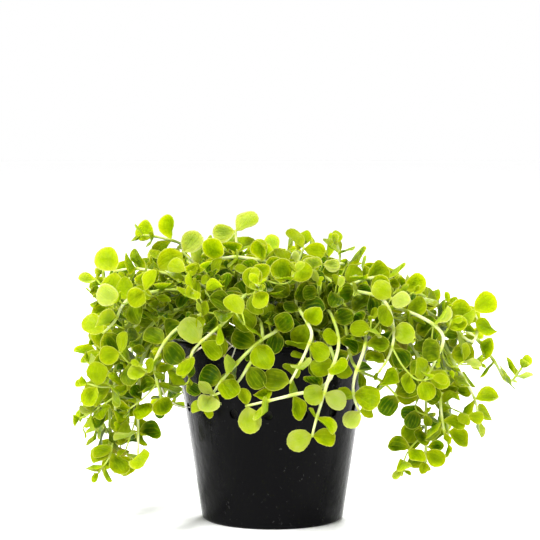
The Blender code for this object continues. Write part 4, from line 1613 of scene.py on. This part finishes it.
@dataclass
class Foliage:
    """The stems with all their leaves, one piece for each main stem."""

    plan: GrowthPlan
    blade: BladePattern
    finish: LeafFinish
    seed: int = 23
    stem_sides: int = 8
    joint_swell: float = 0.34
    joint_reach: float = 0.7 * MM
    joint_colour_reach: float = 1.1 * MM
    taper_length: float = 16.0 * MM
    tip_share: float = 0.62
    bud_length: float = 0.5 * MM
    bud_reach: float = 0.85
    bud_point: float = 0.4
    main_tones: Span = (0.55, 1.0)
    shoot_tones: Span = (0.0, 0.65)
    shaded_tone: float = 0.5
    lit_gain: float = 0.8
    light_share: float = 0.55
    ageing: float = 26.0 * MM
    first_age: float = 0.1
    full_age: float = 0.85
    spent_chance: float = 0.02
    spent_light: float = 0.3
    sharp_edge: float = math.radians(70)

    def __post_init__(self) -> None:
        """Makes the shared material."""
        self.material = self.finish.material()
        self.rng = random.Random(self.seed)
        self.leaf_count = 0

    def stalk(self, shoot: Shoot) -> tuple[list[Vector], list[float]]:
        """A stem's course: thinner to the tip, thicker at each joint, and drawn in to a short bud at its end.

        Args:
            shoot: The stem.

        Returns:
            Its points, and its radius at each.
        """
        points, radii = list(shoot.line.points), []
        for place in range(len(points)):
            grown = min(shoot.from_tip(place) / self.taper_length, 1.0)
            swell = sum(shoot.nearness(place, self.joint_reach))
            taper = self.tip_share + (1 - self.tip_share) * grown
            radii.append(shoot.radius * taper * (1 + self.joint_swell * swell))
        radii[-1] *= self.bud_point
        if shoot.pairs:
            spare = min(shoot.pairs[0].from_tip - self.bud_length, self.bud_reach * shoot.line.spacing)
            points[-1] = shoot.line.at(max(spare, 0.0))[0]
        return points, radii

    def stalk_marks(self, shoot: Shoot, tones: Span) -> Iterator[tuple[Marks, Marks]]:
        """The "blade" and "look" of each point of a stem's mesh, in order.

        Args:
            shoot: The stem.
            tones: The range of its own tone.

        Yields:
            Both for one point.
        """
        tone = self.rng.uniform(*tones)
        for place, point in enumerate(shoot.line.points):
            # Painted shade: the stem's own tone, darkened where leaves stand before it on its way to the
            # light
            shown = tone * (self.shaded_tone + self.lit_gain * self.plan.light_at(point))
            joint = max(shoot.nearness(place, self.joint_colour_reach), default=0.0)
            for _ in range(self.stem_sides):
                yield (0.0, 0.5, joint), (shown, 0.5, 0.0)

    def leaf_marks(self, leaf: Leaf, from_tip: float) -> Iterator[tuple[np.ndarray, Marks, Marks]]:
        """The place, "blade" and "look" of each point of a leaf's mesh, in order.

        Args:
            leaf: The leaf.
            from_tip: How far it grows from the stem's tip.

        Yields:
            All three for one point.
        """
        points = self.blade.shaped(leaf, self.rng)
        # Painted shade: the tone is part chance and part how open the leaf stands, so leaves behind others
        # are painted darker
        light = self.plan.light_at(leaf.centre)
        tone = (1 - self.light_share) * self.rng.random() + self.light_share * light
        age = min(self.first_age + from_tip / self.ageing, self.full_age)
        if light < self.spent_light and self.rng.random() < self.spent_chance:
            age = 1.0
        for point, *place in zip(points, self.blade.across, self.blade.along, self.blade.upper):
            yield point, place, (tone, age, 1.0)

    def build(self, name: str, shoots: Sequence[Shoot], nodes: Sequence[str]) -> bpy.types.Object:
        """Builds one main stem with its side shoots and all their leaves.

        Args:
            name: The stem's name.
            shoots: The main stem, then its side shoots.
            nodes: The solids that the piece stands for.

        Returns:
            The piece.
        """
        tool = tubes([self.stalk(shoot) for shoot in shoots], self.stem_sides)
        pairs = [pair for shoot in shoots for pair in shoot.pairs]
        leaves = [(leaf, pair.from_tip) for pair in pairs for leaf in pair.leaves.values()]
        for _ in leaves:
            tool.from_mesh(self.blade.mesh)
        self.leaf_count += len(leaves)
        blade = tool.verts.layers.float_vector.new("blade")
        look = tool.verts.layers.float_vector.new("look")
        verts = iter(tool.verts)
        for number, shoot in enumerate(shoots):
            tones = self.shoot_tones if number else self.main_tones
            for marks, vert in zip(self.stalk_marks(shoot, tones), verts):
                vert[blade], vert[look] = marks
        for leaf, from_tip in leaves:
            for (point, *marks), vert in zip(self.leaf_marks(leaf, from_tip), verts):
                vert.co = point
                vert[blade], vert[look] = marks
        piece = finished(mesh_from(tool, name), f"{name}_leafy", self.material, "leaf_green", *nodes)
        piece.data.set_sharp_from_angle(angle=self.sharp_edge)
        return piece


@dataclass
class Pot:
    """The small tapered pot."""

    shape: PotShape
    finish: PotFinish
    sides: int = 96
    hole_sides: int = 24
    rounding: float = 0.35 * MM
    sharp_edge: float = math.radians(38)

    def profile(self) -> list[Span]:
        """The turned outline, with its edges rounded.

        Returns:
            Points as (radius, height), from the middle of the foot round to the middle of the floor.
        """
        shape, r, bevel = self.shape, self.rounding, self.shape.foot_chamfer
        under_lip = shape.height - shape.lip_height
        top = shape.top_radius + shape.lip_width
        inner_top = shape.top_radius - shape.wall
        inner_foot = shape.outer_radius(shape.floor) - shape.wall
        return [
            (0.0, 0.0),
            (shape.foot_radius - bevel, 0.0),
            (shape.foot_radius - 0.45 * bevel, 0.12 * bevel),
            (shape.foot_radius - 0.12 * bevel, 0.45 * bevel),
            (shape.foot_radius, bevel),
            (shape.outer_radius(under_lip - r), under_lip - r),
            (shape.outer_radius(under_lip) + 0.3 * r, under_lip - 0.2 * r),
            (top - r, under_lip),
            (top - 0.3 * r, under_lip + 0.3 * r),
            (top, under_lip + r),
            (top, shape.height - r),
            (top - 0.3 * r, shape.height - 0.3 * r),
            (top - r, shape.height),
            (inner_top + r, shape.height),
            (inner_top + 0.3 * r, shape.height - 0.3 * r),
            (inner_top, shape.height - r),
            (inner_foot + 0.2 * r, shape.floor + r),
            (inner_foot - r, shape.floor),
            (0.0, shape.floor),
        ]

    def hole_rods(self) -> bmesh.types.BMesh:
        """Makes round rods where the wall's holes go.

        Returns:
            All the rods.
        """
        tool = bmesh.new()
        shape = self.shape
        radius = shape.outer_radius(shape.hole_height) - shape.wall / 2
        for step in range(shape.holes):
            turn = shape.front_hole + FULL_TURN * step / shape.holes
            outward = polar(1.0, turn)
            place = Vector((0, 0, 1)).rotation_difference(outward).to_matrix().to_4x4()
            place.translation = outward * radius + Vector((0, 0, shape.hole_height))
            rod = {"radius1": shape.hole_radius, "radius2": shape.hole_radius, "depth": 6 * shape.wall}
            bmesh.ops.create_cone(tool, cap_ends=True, segments=self.hole_sides, matrix=place, **rod)
        return tool

    def build(self) -> bpy.types.Object:
        """Turns the pot, cuts its holes and dresses it.

        Returns:
            The piece.
        """
        body = placed("pot body", mesh_from(turned(self.profile(), self.sides), "pot body"))
        cutter = placed("pot holes", mesh_from(self.hole_rods(), "pot holes"))
        cut = body.modifiers.new("holes", "BOOLEAN")
        cut.operation = "DIFFERENCE"
        cut.object = cutter
        mesh = evaluated(body, cutter)
        piece = finished(mesh, "pot_moulding", self.finish.material(), "pot_plastic", "pot")
        piece.data.set_sharp_from_angle(angle=self.sharp_edge)
        return piece


@dataclass
class Plug:
    """The plug of growing medium, with a rough fibrous top."""

    shape: PotShape
    finish: MediumFinish
    sides: int = 72
    wall_heights: range = range(6, 46, 5)
    top_rings: int = 14
    roughness: float = 0.55 * MM
    lumps: float = 450.0
    sink: float = 0.2
    plain_edge: float = 0.5 * MM
    rough_depth: float = 1.0 * MM

    def build(self) -> bpy.types.Object:
        """Turns the plug, roughens its top and dresses it.

        Returns:
            The piece.
        """
        shape = self.shape
        bottom = shape.floor + shape.gap
        radius = shape.medium_radius(shape.medium_top)
        outline = [(0.0, bottom), (shape.medium_radius(bottom), bottom)]
        outline += [(shape.medium_radius(height * MM), height * MM) for height in self.wall_heights]
        outline.append((radius, shape.medium_top))
        for ring in reversed(range(self.top_rings)):
            reach = radius * ring / self.top_rings
            outline.append((reach, shape.medium_height(reach)))
        tool = turned(outline, self.sides)
        for vert in tool.verts:
            on_top = vert.co.z > shape.medium_top - self.rough_depth
            if on_top and vert.co.xy.length < radius - self.plain_edge:
                vert.co.z += self.roughness * (noise.noise(vert.co * self.lumps) - self.sink)
        mesh = mesh_from(tool, "plug")
        return finished(mesh, "medium_fibres", self.finish.material(), "medium_fibre", "growing_medium")


@dataclass
class Roots:
    """Fine roots over the plug and the rim, and one that goes in at a hole."""

    shape: PotShape
    finish: RootFinish
    seed: int = 31
    surface_roots: int = 60
    surface_knots: int = 6
    knot_step: float = 2.6 * MM
    wander: float = 0.6
    starts: Span = (2, 22)
    rises: Span = (0.1, 0.9)
    furthest: float = 23.5 * MM
    radius: float = 0.14 * MM
    stray_radius: float = 0.28 * MM
    scatter: Span = (0.8, 1.2)
    taper: float = 0.6
    spacing: float = 0.9 * MM
    sides: int = 6
    # Points in millimetres
    strays: tuple[tuple[tuple[float, float, float], ...], ...] = (
        ((-31, -10, 41), (-29, -11, 35), (-26, -10, 32.4), (-23.4, -8.6, 31.6), (-21.0, -7.6, 31.4)),
        ((-20.5, -31.5, 58.5), (-18, -33.5, 57), (-15, -35, 54.5), (-12, -35, 52.5), (-10, -33, 50.5)),
        ((-24, -34, 56), (-20, -35.5, 55.6), (-15, -36, 54.2), (-12.5, -35, 52.8)),
        ((-9, -27, 52), (-10, -31, 49), (-11.5, -31.5, 45), (-11, -31, 43)),
        ((-18, -24, 50), (-21, -25, 48), (-24.5, -25, 45), (-24, -24.5, 43)),
        ((18, -26, 52), (20, -28, 49), (19, -29, 46)),
        ((-9.5, -30, 51), (-11, -33, 50.5), (-12.5, -34, 48.5), (-11.5, -34.5, 46.8), (-10.3, -34, 48)),
    )

    def surface_course(self, rng: random.Random) -> list[Vector]:
        """A root that wanders over the top of the plug.

        Args:
            rng: The source of chance.

        Returns:
            Its points.
        """
        turn = rng.uniform(0, FULL_TURN)
        reach = rng.uniform(*self.starts) * MM
        heading = rng.uniform(0, FULL_TURN)
        points = []
        for _ in range(self.surface_knots):
            x, y = reach * math.cos(turn), reach * math.sin(turn)
            points.append(Vector((x, y, self.shape.medium_height(reach) + rng.uniform(*self.rises) * MM)))
            x += self.knot_step * math.cos(heading)
            y += self.knot_step * math.sin(heading)
            heading += rng.uniform(-self.wander, self.wander)
            reach = min(math.hypot(x, y), self.furthest)
            turn = math.atan2(y, x)
        return points

    def build(self) -> bpy.types.Object:
        """Builds all the roots as one piece.

        Returns:
            The piece.
        """
        rng = random.Random(self.seed)
        courses = [(self.surface_course(rng), self.radius) for _ in range(self.surface_roots)]
        courses += [([Vector(point) * MM for point in points], self.stray_radius) for points in self.strays]
        lines = []
        for course, radius in courses:
            points = StemLine.through(course, self.spacing).points
            size = radius * rng.uniform(*self.scatter)
            steps = len(points)
            lines.append((points, [size * (1 - self.taper * step / steps) for step in range(steps)]))
        mesh = mesh_from(tubes(lines, self.sides), "roots")
        return finished(mesh, "fine_roots", self.finish.material(), "medium_fibre")


@dataclass
class Studio:
    """The pale floor, the soft lights and the camera.

    The scale is in pixels to the metre at the rim's centre, and that centre is in pixels of the square frame.
    """

    finish: FloorFinish
    floor_radius: float = 4.0
    floor_sides: int = 96
    distance: float = 600 * MM
    elevation: float = math.radians(6.0)
    scale: float = 3.65 / MM
    rim_centre: Span = (272.5, 336.0)
    rim_height: float = 50 * MM
    frame_size: int = 540
    sensor: float = 36.0
    clip_end: float = 20.0
    # Each lamp's name, place, size and power: the last shines through the leaves
    lamps: tuple[tuple[str, tuple[float, float, float], float, float], ...] = (
        ("key", (-0.45, -0.65, 0.85), 0.3, 18.0),
        ("fill", (0.8, -0.5, 0.45), 0.6, 2.0),
        ("back", (0.15, 0.75, 0.75), 0.4, 13.0),
    )

    def aim(self, thing: bpy.types.Object, place: Vector, target: Vector) -> None:
        """Puts a lamp or camera at a place and turns it to a target."""
        thing.location = place
        thing.rotation_euler = (target - place).to_track_quat("-Z", "Y").to_euler()

    def build_floor(self) -> None:
        """The round floor that everything stands on."""
        tool = bmesh.new()
        bmesh.ops.create_circle(tool, cap_ends=True, segments=self.floor_sides, radius=self.floor_radius)
        floor = placed("studio_floor", mesh_from(tool, "studio_floor"))
        floor.data.materials.append(self.finish.material())

    def build_lights(self) -> None:
        """A white surround and the lamps."""
        world = bpy.data.worlds.new("studio surround")
        world.use_nodes = True
        world.node_tree.nodes["Background"].inputs["Color"].default_value = (1.0, 1.0, 1.0, 1.0)
        bpy.context.scene.world = world
        for name, place, size, power in self.lamps:
            light = bpy.data.lights.new(name, "AREA")
            light.shape = "DISK"
            light.size = size
            light.energy = power
            self.aim(placed(name, light), Vector(place), Vector((0, 0, self.rim_height)))

    def build_camera(self) -> None:
        """The camera, aimed so that the rim's centre falls where the picture has it."""
        rim = Vector((0, 0, self.rim_height))
        sine, cosine = math.sin(self.elevation), math.cos(self.elevation)
        aside, down = ((place - self.frame_size / 2) / self.scale for place in self.rim_centre)
        data = bpy.data.cameras.new("camera")
        data.sensor_width = self.sensor
        data.lens = self.scale * self.distance / (self.frame_size / self.sensor)
        data.clip_end = self.clip_end
        camera = placed("camera", data)
        stand = rim + Vector((0, -cosine, sine)) * self.distance
        self.aim(camera, stand, rim + Vector((0, sine, cosine)) * down - Vector((1, 0, 0)) * aside)
        bpy.context.scene.camera = camera

    def build(self) -> None:
        """Sets up the studio."""
        self.build_floor()
        self.build_lights()
        self.build_camera()
        bpy.context.scene.view_settings.view_transform = "Standard"


def main() -> None:
    """Builds the studio, the pot, the plug, the roots and the plant."""
    logging.basicConfig(level=logging.INFO, format="%(name)s: %(message)s")
    Studio(FloorFinish()).build()
    shape = PotShape()
    for maker in (Pot(shape, PotFinish()), Plug(shape, MediumFinish()), Roots(shape, RootFinish())):
        piece = maker.build()
        log.info("%s has %d faces", piece.name, len(piece.data.polygons))
    foliage = Foliage(GrowthPlan(shape), BladePattern(), LeafFinish())
    for name, shoots in foliage.plan.grow().items():
        piece = foliage.build(name, shoots, [name] if name.startswith("stem_") else [])
        log.info("%s has %d faces on %d shoots", piece.name, len(piece.data.polygons), len(shoots))
    log.info("%d leaves in all", foliage.leaf_count)


if __name__ == "__main__":
    main()
